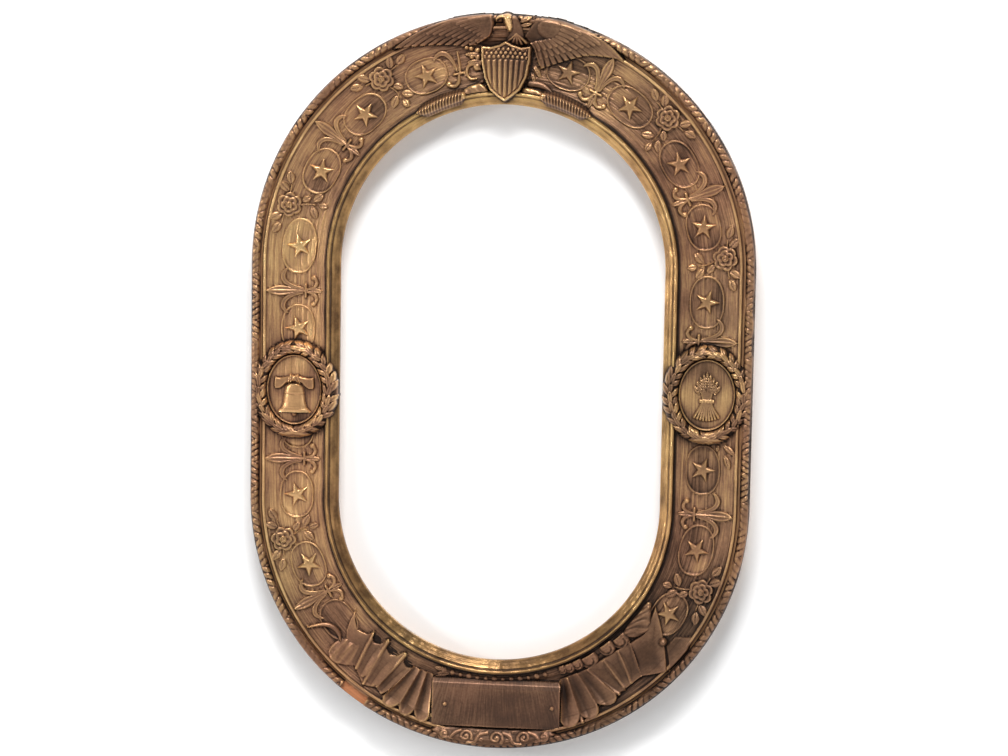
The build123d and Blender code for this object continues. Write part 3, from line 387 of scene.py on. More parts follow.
# The point at a share of the way along a line of points
def walk(points, share):
    sizes = [math.dist(first, second) for first, second in zip(points, points[1:])]
    left = share * sum(sizes)
    for first, second, size in zip(points, points[1:], sizes):
        if left <= size:
            return tuple(a + (b - a) * left / size for a, b in zip(first, second))
        left -= size
    return points[-1]


# Ornaments of the field
cartouche_across = 41.0
cartouche_half = 17.0
cartouche_border = 1.6
cartouche_power = 2.25
cartouche_height = 0.45
border_height = 1.2
border_seat = 0.4
star_radius = 11.8
star_waist = 0.43
star_base = 1.5
star_edge = 1.3
star_edge_slope = 4.0
star_ridge = 0.5
star_side_slope = 9.0
rose_across = 58.0

fleur_spear = [
    (0, 33, 1.7), (0, 41, 2.0), (0, 48, 3.2), (0, 54, 4.9), (0, 59.5, 5.4), (0, 65, 4.0), (0, 71.5, 0.5),
]
fleur_bud = ((0, 34), (0, 17), 3.2)
fleur_scroll = [
    (2.4, 37, 1.0), (4.2, 46, 1.9), (8.6, 53.8, 2.6), (14.6, 56.2, 2.6), (20.0, 53.6, 1.6), (22.0, 51.0, 0.6),
]
fleur_curl = [(1.2, 32, 1.5), (3.2, 26, 2.1), (7.5, 23.0, 2.2), (12.0, 24.4, 1.8)]
fleur_ball = (12.8, 26.2)
fleur_stalk = [(0, 33, 1.2), (1.5, 44, 1.6), (2.0, 55, 0.8)]
fleur_bar = [(-5.8, 34, 1.5), (5.8, 34, 1.5)]
rose_leaves = [
    ((-10, 62.5), (-18.5, 72), 4.4),
    ((-19, 61.5), (-31, 66.5), 4.2),
    ((12, 61.5), (19, 72), 4.2),
    ((20, 61.5), (32, 66), 4.2),
    ((6, 47.5), (13.5, 40), 3.8),
    ((4, 37), (-6.5, 29), 4.2),
    ((7, 31), (8, 21), 3.8),
    ((9, 37), (18.5, 29), 4.2),
]
rose_stems = [
    [(-8, 60, 1.0), (-16, 61, 0.8)],
    [(8, 60, 1.0), (19, 61, 0.8)],
    [(1, 50, 0.9), (5, 42, 0.7), (6.5, 33, 0.6)],
]
rose_petals = ((6, 7.0, 5.4, 2.8, 0.2), (5, 4.2, 4.3, 4.2, 0.7))
rose_heart = 3.3


def cartouche(patch, length, rub_and_light):
    along = np.abs(2 * patch.u / length)
    across = np.abs((patch.v - cartouche_across) / cartouche_half)
    gauge = (along ** cartouche_power + across ** cartouche_power) ** (1 / cartouche_power)
    inside = (1 - gauge) * cartouche_half
    border = rounded(np.abs(inside - cartouche_border / 2) / (cartouche_border / 2), border_height)
    patch.rise(np.where(border > 0, border + border_seat, border), 0.7 * rub_and_light - 0.1)
    field = cartouche_height + (patch.base - patch.plain) - 0.3 * hump(inside - 2.6, 1.0)
    wear_and_light = rub_and_light + 0.22 * mottle[patch.index]
    patch.rise(np.where(inside > cartouche_border / 2, field, nowhere), wear_and_light)


def star(patch, rub_and_light):
    up = patch.v - cartouche_across
    radius = np.hypot(patch.u, up)
    fifth = math.pi / 5
    angle = np.abs(np.mod(np.arctan2(patch.u, up) + fifth, 2 * fifth) - fifth)
    edge = star_radius * star_waist * math.sin(fifth)
    gauge = radius * (np.sin(angle) + star_waist * np.sin(fifth - angle)) / edge
    rise = star_base + np.minimum(star_edge, star_edge_slope * (1 - gauge)) + star_ridge * (1 - gauge)
    patch.rise(np.where(gauge < 1, rise, star_base - star_side_slope * (gauge - 1)), rub_and_light)


def fleur(patch, sides=(-1, 1), spear=True):
    u, v = patch.u, patch.v
    if spear:
        gauge = strip(u, v, smooth(fleur_spear))[0]
        blade = 1.5 + 0.8 * hump(gauge - 0.76, 0.16) + 1.0 * hump(u, 0.8)
        patch.rise(steep_edged(gauge, blade))
        patch.rise(leaf(u, v, *fleur_bud, 2.4))
    else:
        raise_cord(patch, u, v, fleur_stalk, 2.0)
    for side in sides:
        gauge = strip(side * u, v, smooth(fleur_scroll))[0]
        rise = rounded(gauge, 2.6)
        patch.rise(np.where(gauge < 1, rise - 1.0 * hump(gauge, 0.4), rise))
        raise_cord(patch, side * u, v, fleur_curl, 2.4)
        patch.rise(dome(side * u, v, fleur_ball, 2.8, 2.9), 0.2)
    patch.rise(rounded(strip(u, v, fleur_bar)[0], 2.9))


def rose(patch):
    raise_leaves(patch, patch.u, patch.v, rose_leaves, 2.3)
    for stem in rose_stems:
        raise_cord(patch, patch.u, patch.v, stem, 1.6)
    u, v = patch.u, patch.v - rose_across
    for count, spread, radius, tall, turn in rose_petals:
        for petal in range(count):
            angle = turn + petal * 2 * math.pi / count
            gauge = np.hypot(u - spread * math.cos(angle), v - spread * math.sin(angle)) / radius
            patch.rise(steep_edged(gauge, tall - 1.3 + 2.0 * gauge ** 2), -0.05)
    far = np.hypot(u, v)
    coil = np.mod(far / 1.6 - np.arctan2(v, u) / (2 * math.pi), 1)
    patch.rise(np.where(far < rose_heart, 4.6 + 1.2 * np.sin(math.pi * coil), nowhere))


# Wreath of laurel leaves, its medallion and the reliefs
wreath_across = 43.4
wreath_outer = (48.0, 43.0)
wreath_inner = (35.2, 27.7)
wreath_height = 21.5
wreath_base = 8.6
wreath_swell = 8.0
medallion_height = 12.0
relief_seat = medallion_height + 0.4
medallion_half = (35.0, 27.5)
medallion_border = 1.8
leaf_lanes = ((0.2, 0.62, 6.2, 2.7), (0.8, -0.62, 6.8, 2.9), (0.5, 0.0, 6.6, 2.7))
leaves_along = 14


def wreath(patch, up):
    u, v = patch.u * up, patch.v - wreath_across
    chance = np.random.default_rng(20 + up)
    outer = np.hypot(u / wreath_outer[0], v / wreath_outer[1])
    inner = np.hypot(u / wreath_inner[0], v / wreath_inner[1])
    share = np.clip((inner - 1) / np.maximum(inner - outer, 1e-6), -0.5, 1.5)
    body = wreath_base + wreath_swell * arch(2 * share - 1)
    ring = (share > 0) & (share < 1)
    patch.reach(np.where(ring, body, nowhere), -0.9)
    for number in range(leaves_along):
        for side in (-1, 1):
            for lane, lean, size, half_width in leaf_lanes:
                shake, sway, grow, shine = chance.uniform(-1, 1, 4)
                turn = math.pi * (number + 0.3 + (0.5 if lean == 0 else 0) + 0.2 * shake) / leaves_along
                half = [wreath_inner[k] + (wreath_outer[k] - wreath_inner[k]) * lane for k in (0, 1)]
                point = (-half[0] * math.cos(turn), side * half[1] * math.sin(turn))
                heading = math.atan2(half[1] * side * math.cos(turn), half[0] * math.sin(turn)) - side * lean
                heading += 0.3 * sway
                length = size * (1 + 0.2 * grow)
                ahead = (length * math.cos(heading), length * math.sin(heading))
                stalk = (point[0] - ahead[0], point[1] - ahead[1])
                tip = (point[0] + ahead[0], point[1] + ahead[1])
                gauge, along, aside = leaf_gauge(u, v, stalk, tip, half_width)
                blade = 2.5 * arch(gauge) - 0.9 * hump(aside, 0.5)
                lift = body + blade - 0.6 + 2.0 * along / (2 * length) + 0.3 * shine
                shown = (gauge < 1) & (share > -0.02) & (share < 1.03)
                patch.reach(np.where(shown, lift, nowhere), 0.35 * shine - 0.1)
    tie = np.abs(u + wreath_outer[0] - 6.0 + 0.25 * np.abs(v))
    patch.reach(np.where(ring & (tie < 2.6), body + 3.0 - 0.16 * tie ** 2, nowhere), 0.1)
    patch.height = np.minimum(patch.height, wreath_height)


def medallion(patch, rub_and_light):
    u, v = patch.u, patch.v - wreath_across
    gauge = np.hypot(u / medallion_half[0], v / medallion_half[1])
    inside = (1 - gauge) * medallion_half[1]
    field = medallion_height + 0.9 * step(2, 22, inside) - 0.5 + 0.6 * (patch.base - patch.plain)
    patch.reach(np.where(inside > 0, field, nowhere), rub_and_light + 0.22 * mottle[patch.index])
    rim = rounded(np.abs(inside - medallion_border / 2) / (medallion_border / 2), 2.3)
    patch.reach(np.where(rim > 0, medallion_height + rim, nowhere))


bell_side = [
    (-22.5, 16.6), (-20.8, 15.6), (-17.5, 12.6), (-12.5, 11.1), (-3, 10.2), (2, 9.2), (4.4, 7.2), (6, 4.2),
]
bell_bands = ((-19.6, 0.45), (-17.4, 0.35), (-4.0, -0.5), (-2.8, 0.3))
yoke_side = [
    (8.2, 0), (8.0, 4), (6.5, 8), (3.0, 11), (0.8, 14.5), (0.6, 19), (3.5, 20), (9, 19.6), (12.2, 19.2),
    (11.6, 14), (12.8, 8), (14.2, 4), (14.4, 0),
]
yoke_straps = [
    [(6.5, -5.5, 0.8), (14.6, -3.4, 0.8)], [(6.5, 5.5, 0.8), (14.6, 3.4, 0.8)],
    [(7.6, -3.4, 0.7), (14.0, 1.6, 0.7)], [(7.6, 3.4, 0.7), (14.0, -1.6, 0.7)],
]


def bell(patch):
    u, v = patch.u, patch.v - wreath_across
    heights = np.array([row[0] for row in bell_side])
    gauge = np.abs(v) / np.interp(u, heights, np.array([row[1] for row in bell_side]))
    inside = (u > heights[0]) & (u < heights[-1]) & (gauge < 1)
    body = medallion_height + 0.6 + 4.4 * arch(gauge)
    for band, tall in bell_bands:
        body = body + tall * hump(u - band, 0.6)
    patch.reach(np.where(inside, body, nowhere), 0.55)
    patch.reach(medallion_height - 0.2 + dome(u, v, (-24.2, 0), 2.4, 2.4))
    yoke = yoke_side + [(along, -across) for along, across in yoke_side[-2:0:-1]]
    patch.reach(medallion_height + 0.3 + cushion(depth(u, v, yoke), 1.3, 3.0), 0.1)
    for strap in yoke_straps:
        patch.reach(relief_seat + rounded(strip(u, v, strap)[0], 4.0), 0.4)


# Ears and stalks of the sheaf, spread about its band
def wheat_sheaf(patch):
    u, v = patch.u, patch.v - wreath_across
    knot = 6.0
    for number in range(-4, 5):
        spread = number * 0.20
        foot = (24.5 - 0.18 * number ** 2, number * 2.9)
        stem = smooth([(*foot, 1.3), (knot, number * 1.0, 0.9), (-6, number * 1.7, 0.8)])
        patch.reach(relief_seat + rounded(strip(u, v, stem)[0], 1.7))
        stalk = (-4 + abs(number), number * 1.75)
        tip = (stalk[0] - 19 * math.cos(spread) + abs(number) * 0.9, stalk[1] + 8 * math.sin(spread))
        ear = leaf(u, v, stalk, tip, 2.0, 2.4)
        grains = 0.45 * np.cos(2 * math.pi * (u + 0.8 * np.abs(v - number * 2.2)) / 2.5)
        patch.reach(np.where(ear > 0, relief_seat + ear + grains, nowhere))
    band = rounded(strip(u, v, [(knot, -5.6, 2.3), (knot, 5.6, 2.3)])[0], 2.6)
    patch.reach(relief_seat + band - 0.3 * np.cos(v * 2.4), 0.1)


# Crest
right_wing_outline = [
    (17, 66), (24, 80), (30, 86), (45, 87.4), (70, 85), (92, 79.5), (105, 74.5),
    (92, 69.5), (75, 63), (60, 52.6), (47, 44), (36, 37.5), (31, 45), (27, 55),
]
right_roots = [(47, 84.5), (48, 76), (44, 69), (36, 64.5), (27, 61), (22, 58)]
right_tips = [(104, 75.2), (91, 70.3), (76, 64), (61, 54), (48, 45.4), (36, 39), (30, 44)]
right_panel = [
    (35, 86.5), (29, 83), (26.5, 76), (29, 69.5), (36, 65.5), (44, 67), (48.5, 74), (48.5, 82), (44, 86.5),
]
left_wing_outline = [
    (-13, 65), (-9.6, 72), (-9.6, 80), (-12, 85.6), (-38, 86), (-75, 81.5), (-95, 76.8),
    (-78, 70.5), (-63, 66), (-50, 62.5), (-38, 58.5), (-27, 58.5), (-19, 61),
]
left_roots = [(-12, 84), (-12, 79), (-12, 74), (-12.5, 69), (-14, 65.5)]
left_tips = [(-94, 76.6), (-78, 72), (-64, 67.6), (-51, 63.6), (-39, 59.6), (-28, 59.2), (-20, 61.4)]
left_rolls = (
    [(-11.5, 84.4, 2.2), (-40, 85.0, 1.9), (-70, 81.4, 1.5), (-93, 77, 0.7)],
    [(-11.4, 84.5, 2.0), (-10.8, 76, 2.0), (-13, 67, 1.5)],
)

# Rows of feathers: count, share of the wing, half width, height, bend and rubbed brightness
right_feathers = (
    (14, 1.05, 2.7, 1.4, 0.05, -0.4), (12, 0.62, 2.3, 2.0, 0.04, -0.4), (10, 0.3, 2.3, 2.5, 0.03, -0.4),
)
left_feathers = (
    (11, 1.03, 2.2, 1.4, -0.06, -0.6), (10, 0.66, 2.0, 2.0, -0.06, -0.55), (8, 0.34, 2.0, 2.4, -0.05, -0.55),
)
vane_height = 1.3
wing_edge = 1.3


# A row of overlapping feathers from a line of roots towards a line of tips
def feathers(patch, inside, roots, tips, count, share, wide, tall, bend, rub_and_light):
    edge = cushion(inside, wing_edge, 6.0)
    for number in range(count):
        part = (number + 0.5) / count
        root, tip = walk(roots, part), walk(tips, part)
        du, dv = (tip[0] - root[0]) * share, (tip[1] - root[1]) * share
        middle = (root[0] + 0.5 * du - bend * dv, root[1] + 0.5 * dv + bend * du, wide)
        end = (root[0] + du, root[1] + dv, 0.75 * wide)
        gauge, along = strip(patch.s, patch.t, smooth([(*root, 0.8 * wide), middle, end]))
        vane = vane_height * arch(gauge)
        rise = tall + vane - 0.3 * hump(gauge, 0.18) + 0.9 * along
        patch.rise(np.where((gauge < 1) & (inside > 0), np.minimum(rise, edge), nowhere), rub_and_light + 0.15 * along)


def right_wing(patch):
    inside = depth(patch.s, patch.t, right_wing_outline)
    patch.rise(cushion(inside, wing_edge, 1.8), -0.6)
    for row in right_feathers:
        feathers(patch, inside, right_roots, right_tips, *row)
    within = depth(patch.s, patch.t, smooth_outline(right_panel))
    patch.rise(cushion(within, 6.0, 3.4) - np.where(within > 0, 0.5 * step(2.0, 8.0, within), 0), -0.4)


def left_wing(patch):
    inside = depth(patch.s, patch.t, left_wing_outline)
    patch.rise(cushion(inside, wing_edge, 1.8), -0.8)
    for row in left_feathers:
        feathers(patch, inside, left_roots, left_tips, *row)
    for roll in left_rolls:
        raise_cord(patch, patch.s, patch.t, roll, 3.8, -0.6)


neck_line = [(2.6, 82.6, 3.4), (3.4, 79.0, 3.3), (4.2, 74.5, 2.9), (4.6, 70.5, 1.4)]
chest_line = [(7.6, 82.5, 2.2), (9.6, 77, 4.0), (10.6, 69, 6.0), (9.0, 60, 8.4)]
beak_line = [(0.5, 84.0, 2.2), (-3.4, 83.6, 1.7), (-6.0, 81.6, 1.1), (-6.2, 79.4, 0.4)]
head_point = (2.2, 83.6)
eye_point = (0.6, 84.6)
tuft_ends = ((3, 60), (7, 58.5), (11, 58), (15, 58.5), (19, 60))
collar_leaves = (((13, 79), (22, 85.5), 2.4), ((13, 75), (23, 79), 2.2))


def eagle_body(patch):
    u, v = patch.s, patch.t
    raise_leaves(patch, u, v, collar_leaves, 2.8, -0.15)
    raise_cord(patch, u, v, chest_line, 3.8, -0.5)
    for end in tuft_ends:
        patch.rise(rounded(strip(u, v, [(10.5, 68, 1.2), (*end, 1.7)])[0], 4.6), -0.1)
    gauge = strip(u, v, smooth(neck_line))[0]
    scale = 0.35 * np.cos(2 * math.pi * (v + 1.1 * np.cos(2 * math.pi * u / 2.6)) / 2.6)
    neck = rounded(gauge, 5.0)
    patch.rise(np.where(gauge < 1, neck + scale * (1 - gauge ** 2), neck), 0.8)
    patch.rise(dome(u, v, head_point, 3.7, 4.4), 0.1)
    raise_cord(patch, u, v, beak_line, 4.4, -0.1)
    eye = np.hypot(u - eye_point[0], v - eye_point[1]) / 1.1
    patch.height = np.where(eye < 1, patch.height - 0.8 * (1 - eye ** 2), patch.height)


foot_leaves = (
    ((-23, 59), (-37, 63), 3.0), ((-22, 48), (-38, 51), 2.8), ((-22, 42), (-37, 43), 2.8),
    ((28, 40), (38, 29), 3.0), ((27, 33), (33, 23), 2.4),
)
foot_balls = (
    (-31, 55.5, 2.0), (-25.5, 53, 2.4), (-26, 46.5, 2.4), (-31.5, 47.5, 2.1), (-28, 37.5, 3.4),
    (-24, 41, 2.4), (-35, 57, 1.8),
)
foot_curl = [
    (-25, 35, 1.6), (-29, 40, 1.8), (-36, 39.5, 1.9), (-39, 33, 1.8), (-36, 27, 1.7), (-30, 26.5, 1.3),
]
foot_ribbons = (
    [(-24, 23, 2.2), (-33, 19.5, 1.8), (-43, 17.5, 1.0)],
    [(27, 22, 3.4), (40, 22.5, 3.2), (50, 19.5, 2.2), (56, 16.8, 0.8)],
)
foot_cloths = (
    [(-46, 14), (-42, 19), (-26, 21), (-18, 14), (-20, 10), (-40, 10.5)],
    [(24, 10), (22, 17), (38, 17), (46, 14.5), (43, 10.5)],
)


def eagle_foot(patch):
    u, v = patch.s, patch.t
    for cloth in foot_cloths:
        inside = depth(u, v, smooth_outline(cloth))
        folds = 0.35 * np.sin(u / 1.9 + v / 2.4)
        patch.reach(np.where(inside > 0, 11.4 + cushion(inside, 4.0, 2.2) + folds, nowhere), -0.1)
    for ribbon in foot_ribbons:
        raise_cord(patch, u, v, ribbon, 2.4, -0.5)
    raise_leaves(patch, u, v, foot_leaves, 2.8)
    raise_cord(patch, u, v, foot_curl, 2.6)
    for along, across, radius in foot_balls:
        patch.rise(dome(u, v, (along, across), 1.2 * radius, 3.2), 0.15)


shield_outline = [
    (-20.5, 56.5), (-12, 55), (-4, 57), (1.5, 60.5), (8, 57), (16, 55), (24.5, 57.5), (25.5, 45),
    (24.5, 28), (19, 15), (9, 7), (1.5, 3), (-6, 7), (-15, 14), (-20, 26), (-21.5, 42),
]
shield_height = 19.2
shield_middle = 2.0
stripe_pitch = 5.5
flute_half = 0.34
flute_height = 1.5
shield_border_half = 1.3
chief_line = 43.5
shield_rows = ((45.8, 0), (49.4, 0.5), (53.0, 0))
shield_dot = 4.5


def shield(patch):
    u, v = patch.s, patch.t
    inside = depth(u, v, shield_outline)
    swell = 1.3 * np.maximum(1 - ((u - shield_middle) / 30) ** 2, 0) + shield_height - 0.9
    flute = np.abs(np.mod((u - shield_middle) / stripe_pitch + 0.5, 1) - 0.5)
    flutes = flute_height * arch(flute / flute_half)
    flutes = flutes * step(3, 4.2, inside) * step(chief_line, chief_line - 1.2, v)
    # Painted shade growing across the shield towards its upper right, with brighter flute tops
    wear_and_light = 0.25 * (flutes > 0.4) - 0.2 - 0.012 * (u + v - 25)
    patch.reach(np.where(inside > 0, swell - 0.3 + flutes, nowhere), wear_and_light)
    for across, offset in shield_rows:
        part = np.mod((u - shield_middle) / shield_dot + offset, 1) - 0.5
        dot = rounded(np.hypot(part * shield_dot, v - across) / 1.7, 1.6)
        patch.reach(np.where((inside > 2.8) & (dot > 0), swell + dot - 0.2, nowhere), -0.1)
    # The border takes the same painted shade towards the upper right
    border = rounded(np.abs(inside - shield_border_half) / shield_border_half, 1.7)
    patch.reach(np.where(border > 0, swell + border, nowhere), -0.05 - 0.008 * (u + v - 25))


bundles = (
    [(45, 12.4, 3.6), (51, 12.0, 4.7), (74, 11.2, 4.8), (95, 10.8, 4.0), (104, 12.4, 0.8)],
    [(-47, 12.4, 3.6), (-53, 12.0, 4.7), (-76, 11.2, 4.8), (-95, 10.8, 4.0), (-104, 12.4, 0.8)],
)
bundle_base = 12.0
rib_pitch = 3.7


def ribbed_bundle(patch, points):
    gauge, along = strip(patch.s, patch.t, smooth(points))
    side = 1 if points[-1][0] > 0 else -1
    twist = np.cos(2 * math.pi * (patch.s * side + 0.4 * (patch.t - bundle_base)) / rib_pitch)
    swell = rounded(gauge, 4.2)
    ribs = 0.8 * twist * (1 - gauge ** 2) * step(0.03, 0.12, along)
    patch.reach(bundle_base + np.where(gauge < 1, swell + ribs, swell), 0.25 * twist - 0.35)
    patch.reach(bundle_base + dome(patch.s, patch.t, points[0][:2], 3.6, 4.8), 0.3)


# Base: lines of the folds from hem to gather, and what swells or sinks between them
right_sheet = [
    (-206, 26), (-192, 42), (-182, 54), (-165, 75), (-155, 69), (-145, 63), (-136, 63), (-118, 64),
    (-104, 27), (-124, 27), (-144, 28), (-158, 31), (-175, 34), (-194, 29),
]
left_sheet = [
    (104, 68), (112, 65), (123.5, 70), (130, 66), (137, 62), (143, 60), (152, 46), (164, 47), (169, 42),
    (174, 34), (181, 19.5), (171, 28), (162, 32.5), (152, 29), (147.5, 22), (145, 28), (140, 30.5), (134, 28),
    (130.5, 18), (127.5, 19), (126, 27), (119, 30), (112, 27), (107.5, 19), (104, 20), (102, 29), (97, 32),
    (90, 29),
]
right_lines = [
    ((-145, 63), (-158, 30)), ((-134, 63), (-142, 28)), ((-126, 63), (-124, 28)), ((-119, 66), (-104, 28)),
    ((-99, 73), (-92, 28)), ((-79.5, 75), (-80, 27)), ((-58.5, 75), (-72.5, 27)),
]
right_swells = (-2.8, -3.0, -2.8, 5.8, 6.2, 6.2)
left_lines = [
    ((55.5, 74), (68, 26)), ((72, 75), (75.5, 26)), ((87.5, 75), (83, 27)), ((105, 74), (91, 27)),
    ((112, 65), (105, 19)), ((123.5, 70), (129.5, 18)), ((137, 63), (147, 21)),
]
left_swells = (6.2, 6.2, 6.2, 4.2, 4.4, 4.2)
right_ridges = (1, 2, 3, 5)
right_ridge_halves = (1.5, 2.1)
left_ridges = (1, 2, 3)
left_ridge_halves = (3.0, 1.8)
hem_shadow_ovals = ((98, 28, 6.0, 3.4), (119.5, 25.6, 7.5, 3.4), (140, 26, 6.0, 3.6))
pillow = [
    (140, 61), (147, 67), (156, 72), (164, 70), (168, 63), (167, 54), (163, 46), (155, 43), (149, 40),
    (144, 50),
]
knob_point = (-181.0, 53.0)
flap_outline = [(-202, 73), (-190, 75.5), (-168, 75), (-180, 58), (-192, 59)]
horn_points = [(165, 53, 0.8), (172, 49.5, 2.4), (181, 50.5, 2.6), (188, 57, 2.2), (193.5, 69.5, 0.7)]


def pleats(patch, lines, swells, ridges, halves, bounds, rub_and_light):
    u, v = patch.s, patch.t
    for first, second, swell in zip(lines, lines[1:], swells):
        shares = [(v - gather[1]) / (hem[1] - gather[1]) for hem, gather in (first, second)]
        edges = [
            gather[0] + (hem[0] - gather[0]) * share for (hem, gather), share in zip((first, second), shares)
        ]
        share = 0.5 * (shares[0] + shares[1])
        across = 2 * (u - edges[0]) / (edges[1] - edges[0]) - 1
        inside = (np.abs(across) < 1) & (share > 0) & (share < 1)
        if swell > 0:
            hem_gap = np.maximum(1 - 0.17 * np.abs(across) ** 2.4 - share, 0)
            edge = np.where(hem_gap > 0, 0.6 + 0.4 * step(0, 0.05, hem_gap), nowhere)
            aside = across - 0.3 * (1 - across ** 2)
            hollow = 0.26 + 0.74 * np.abs(aside) ** 1.6
            rise = swell * hollow * edge * (0.5 + 0.5 * step(0, 0.6, share)) + 0.4
        else:
            rise = 1.2 - swell * np.abs(across) ** 1.7
        wear_and_light = rub_and_light + 0.2 * (1 - across ** 2) * step(0.1, 0.7, share)
        patch.rise(np.where(inside & (bounds > 0), rise, nowhere), wear_and_light)
    for number in ridges:
        hem, gather = lines[number]
        gauge = strip(u, v, [(gather[0], gather[1] + 2, halves[0]), (hem[0], hem[1] - 2, halves[1])])[0]
        patch.rise(np.where(bounds > -0.6, rounded(gauge, 4.2), nowhere), rub_and_light + 0.15)


def right_drapery(patch):
    u, v = patch.s, patch.t
    patch.rise(cushion(depth(u, v, flap_outline), 1.5, 1.3), -0.2)
    inside = depth(u, v, right_sheet)
    sag = 1.3 * step(1.0, 12.0, inside)
    patch.rise(cushion(inside, 1.4, 3.2) - np.where(inside > 0, sag, 0), -0.02)
    pleats(patch, right_lines, right_swells, right_ridges, right_ridge_halves, 1 + 0 * u, -0.05)
    patch.rise(dome(u, v, knob_point, 4.4, 6.6), -0.2)


def left_drapery(patch):
    u, v = patch.s, patch.t
    # Painted shadows in the hollows under the hem: thin, very dark ovals
    for along, across, half_along, half_across in hem_shadow_ovals:
        gauge = np.hypot((u - along) / half_along, (v - across) / half_across)
        patch.rise(np.where(gauge < 1, 0.3, nowhere), -1.0)
    inside = depth(u, v, left_sheet)
    patch.rise(cushion(inside, 1.2, 2.2), -0.1)
    pleats(patch, left_lines[:4], left_swells[:3], (), left_ridge_halves, 1 + 0 * u, -0.1)
    pleats(patch, left_lines[3:], left_swells[3:], left_ridges, left_ridge_halves, inside, -0.1)
    swell = cushion(depth(u, v, smooth_outline(pillow)), 16.0, 4.2)
    patch.rise(swell + np.where(swell > 0, 0.35 * np.sin(u / 1.1 + v / 9.0), 0), 0.05)
    raise_cord(patch, u, v, horn_points, 3.4, -0.2)


plate_aside = 2.25
plate_half = (63.75, 21.5)
plate_height = 15.5
plate_across = 44.0
plate_middle_z = -(half_straight + sight_radius + plate_across)
pin_points = (-48.3, 58.1)
plate_bevel = 4.6
plate_skirt = 4.0
pin_radius = 2.2


def nameplate(patch):
    upper = plate_middle_z + plate_half[1] - patch.z
    aside = plate_half[0] - np.abs(patch.x - plate_aside)
    inside = np.minimum(aside, np.minimum(upper, 2 * plate_half[1] - upper))
    wave = 0.12 * np.sin(patch.x / 17.0) + 0.08 * np.cos(patch.z / 8.0 + patch.x / 31.0)
    comb = 0.05 * np.sin(patch.x * 3.7) + 0.05 * np.sin(patch.x * 5.3 + patch.z / 9.0)
    slope = 1.6 * (1 - np.clip(upper / plate_bevel, 0, 1)) - 1.1 * np.minimum(upper, 0)
    face = plate_height - 1.0 + wave + comb - slope
    shown = (inside > 0) | ((aside > 0) & (upper > -plate_skirt) & (upper <= 0))
    patch.reach(np.where(shown, face, nowhere), np.where(upper < plate_bevel, -0.33, -0.2))
    edge = plate_height - 0.9 + rounded(np.abs(inside - 0.7) / 0.7, 0.3)
    # The edge round the plate below its bevel is darkened as painted shade
    patch.reach(np.where((inside > 0) & (inside < 1.4) & (upper > plate_bevel), edge, nowhere), -0.4)


def nameplate_pins(patch):
    for pin in pin_points:
        apart = np.hypot(patch.x - pin, patch.z - plate_middle_z)
        head = plate_height - 1.0 + rounded(apart / pin_radius, 1.8)
        patch.reach(np.where(apart < pin_radius, head, nowhere), 0.15)


scroll_outline = [
    (-53, 78), (-44, 81), (-25, 82.5), (0, 83), (25, 82.5), (44, 81), (52, 78),
    (50, 73), (36, 70), (18, 67.8), (0, 66.8), (-18, 67.8), (-36, 70), (-50, 73),
]
volutes = (
    (-3, 75.6, 6.4, 1, 2.4), (-27, 76, 5.8, -1, 0.4), (23, 76, 5.8, 1, 2.8),
    (-44, 77.5, 3.6, 1, 1.0), (41, 77.5, 3.6, -1, 2.2),
)
scroll_stems = (
    [(-9, 71, 2.2), (-15, 74, 2.4), (-18, 80.5, 1.8), (-24, 82, 1.2)],
    [(5, 71, 2.2), (12, 74, 2.4), (15, 80.5, 1.8), (21, 82, 1.2)],
    [(-31, 71.5, 2.0), (-37, 75, 2.2), (-40, 80.5, 1.2)],
    [(28, 71.5, 2.0), (33, 75, 2.2), (36, 80.5, 1.2)],
)
sprays = [
    ((-8, 79), (-17, 77), 2.0), ((7, 79), (13, 77), 2.0), ((-11, 70), (-22, 71), 1.6),
    ((7, 70), (18, 71), 1.6), ((-33, 81), (-47, 80), 1.6), ((31, 81), (45, 80), 1.6),
    ((-41, 73.5), (-50, 75), 1.6), ((38, 73.5), (48, 75), 1.6),
]


def scroll_ornament(patch):
    u, v = patch.s, patch.t
    patch.rise(cushion(depth(u, v, scroll_outline), 2.5, 1.4), -0.25)
    raise_leaves(patch, u, v, sprays, 2.4, -0.05)
    for stem in scroll_stems:
        raise_cord(patch, u, v, stem, 2.6)
    for along, across, size, hand, start in volutes:
        points = []
        for number in range(15):
            turn = start + hand * number * 0.62
            radius = size * (1 - number / 16.5)
            half = 1.9 - 0.05 * number
            points.append((along + radius * math.cos(turn), across + radius * math.sin(turn), half))
        patch.rise(rounded(strip(u, v, points)[0], 2.6))
        patch.rise(dome(u, v, (along, across), 1.6, 2.8), 0.1)


string_across = 18.8
string_reach = 58.0
string_count = 13
corner_leaves = (((51, 20), (65, 24.5), 3.0), ((55, 17.5), (70, 19), 2.6), ((52, 24), (67, 29), 2.8))
border_scallops = (
    (-152, 22.5, 9.8), (-135, 20.0, 9.4), (-111, 20.5, 10.4), (-97, 19.0, 7.0), (-87, 19.0, 6.4),
    (-79, 18.5, 5.4),
)
border_leaf = [
    (-206, 21), (-197, 27), (-188, 33), (-179, 36), (-170, 33.5), (-162, 28), (-159, 20), (-170, 16.5),
    (-190, 16.5), (-203, 17),
]
border_bed = [(-160, 15.5), (-160, 22), (-78, 20), (-78, 15.5)]


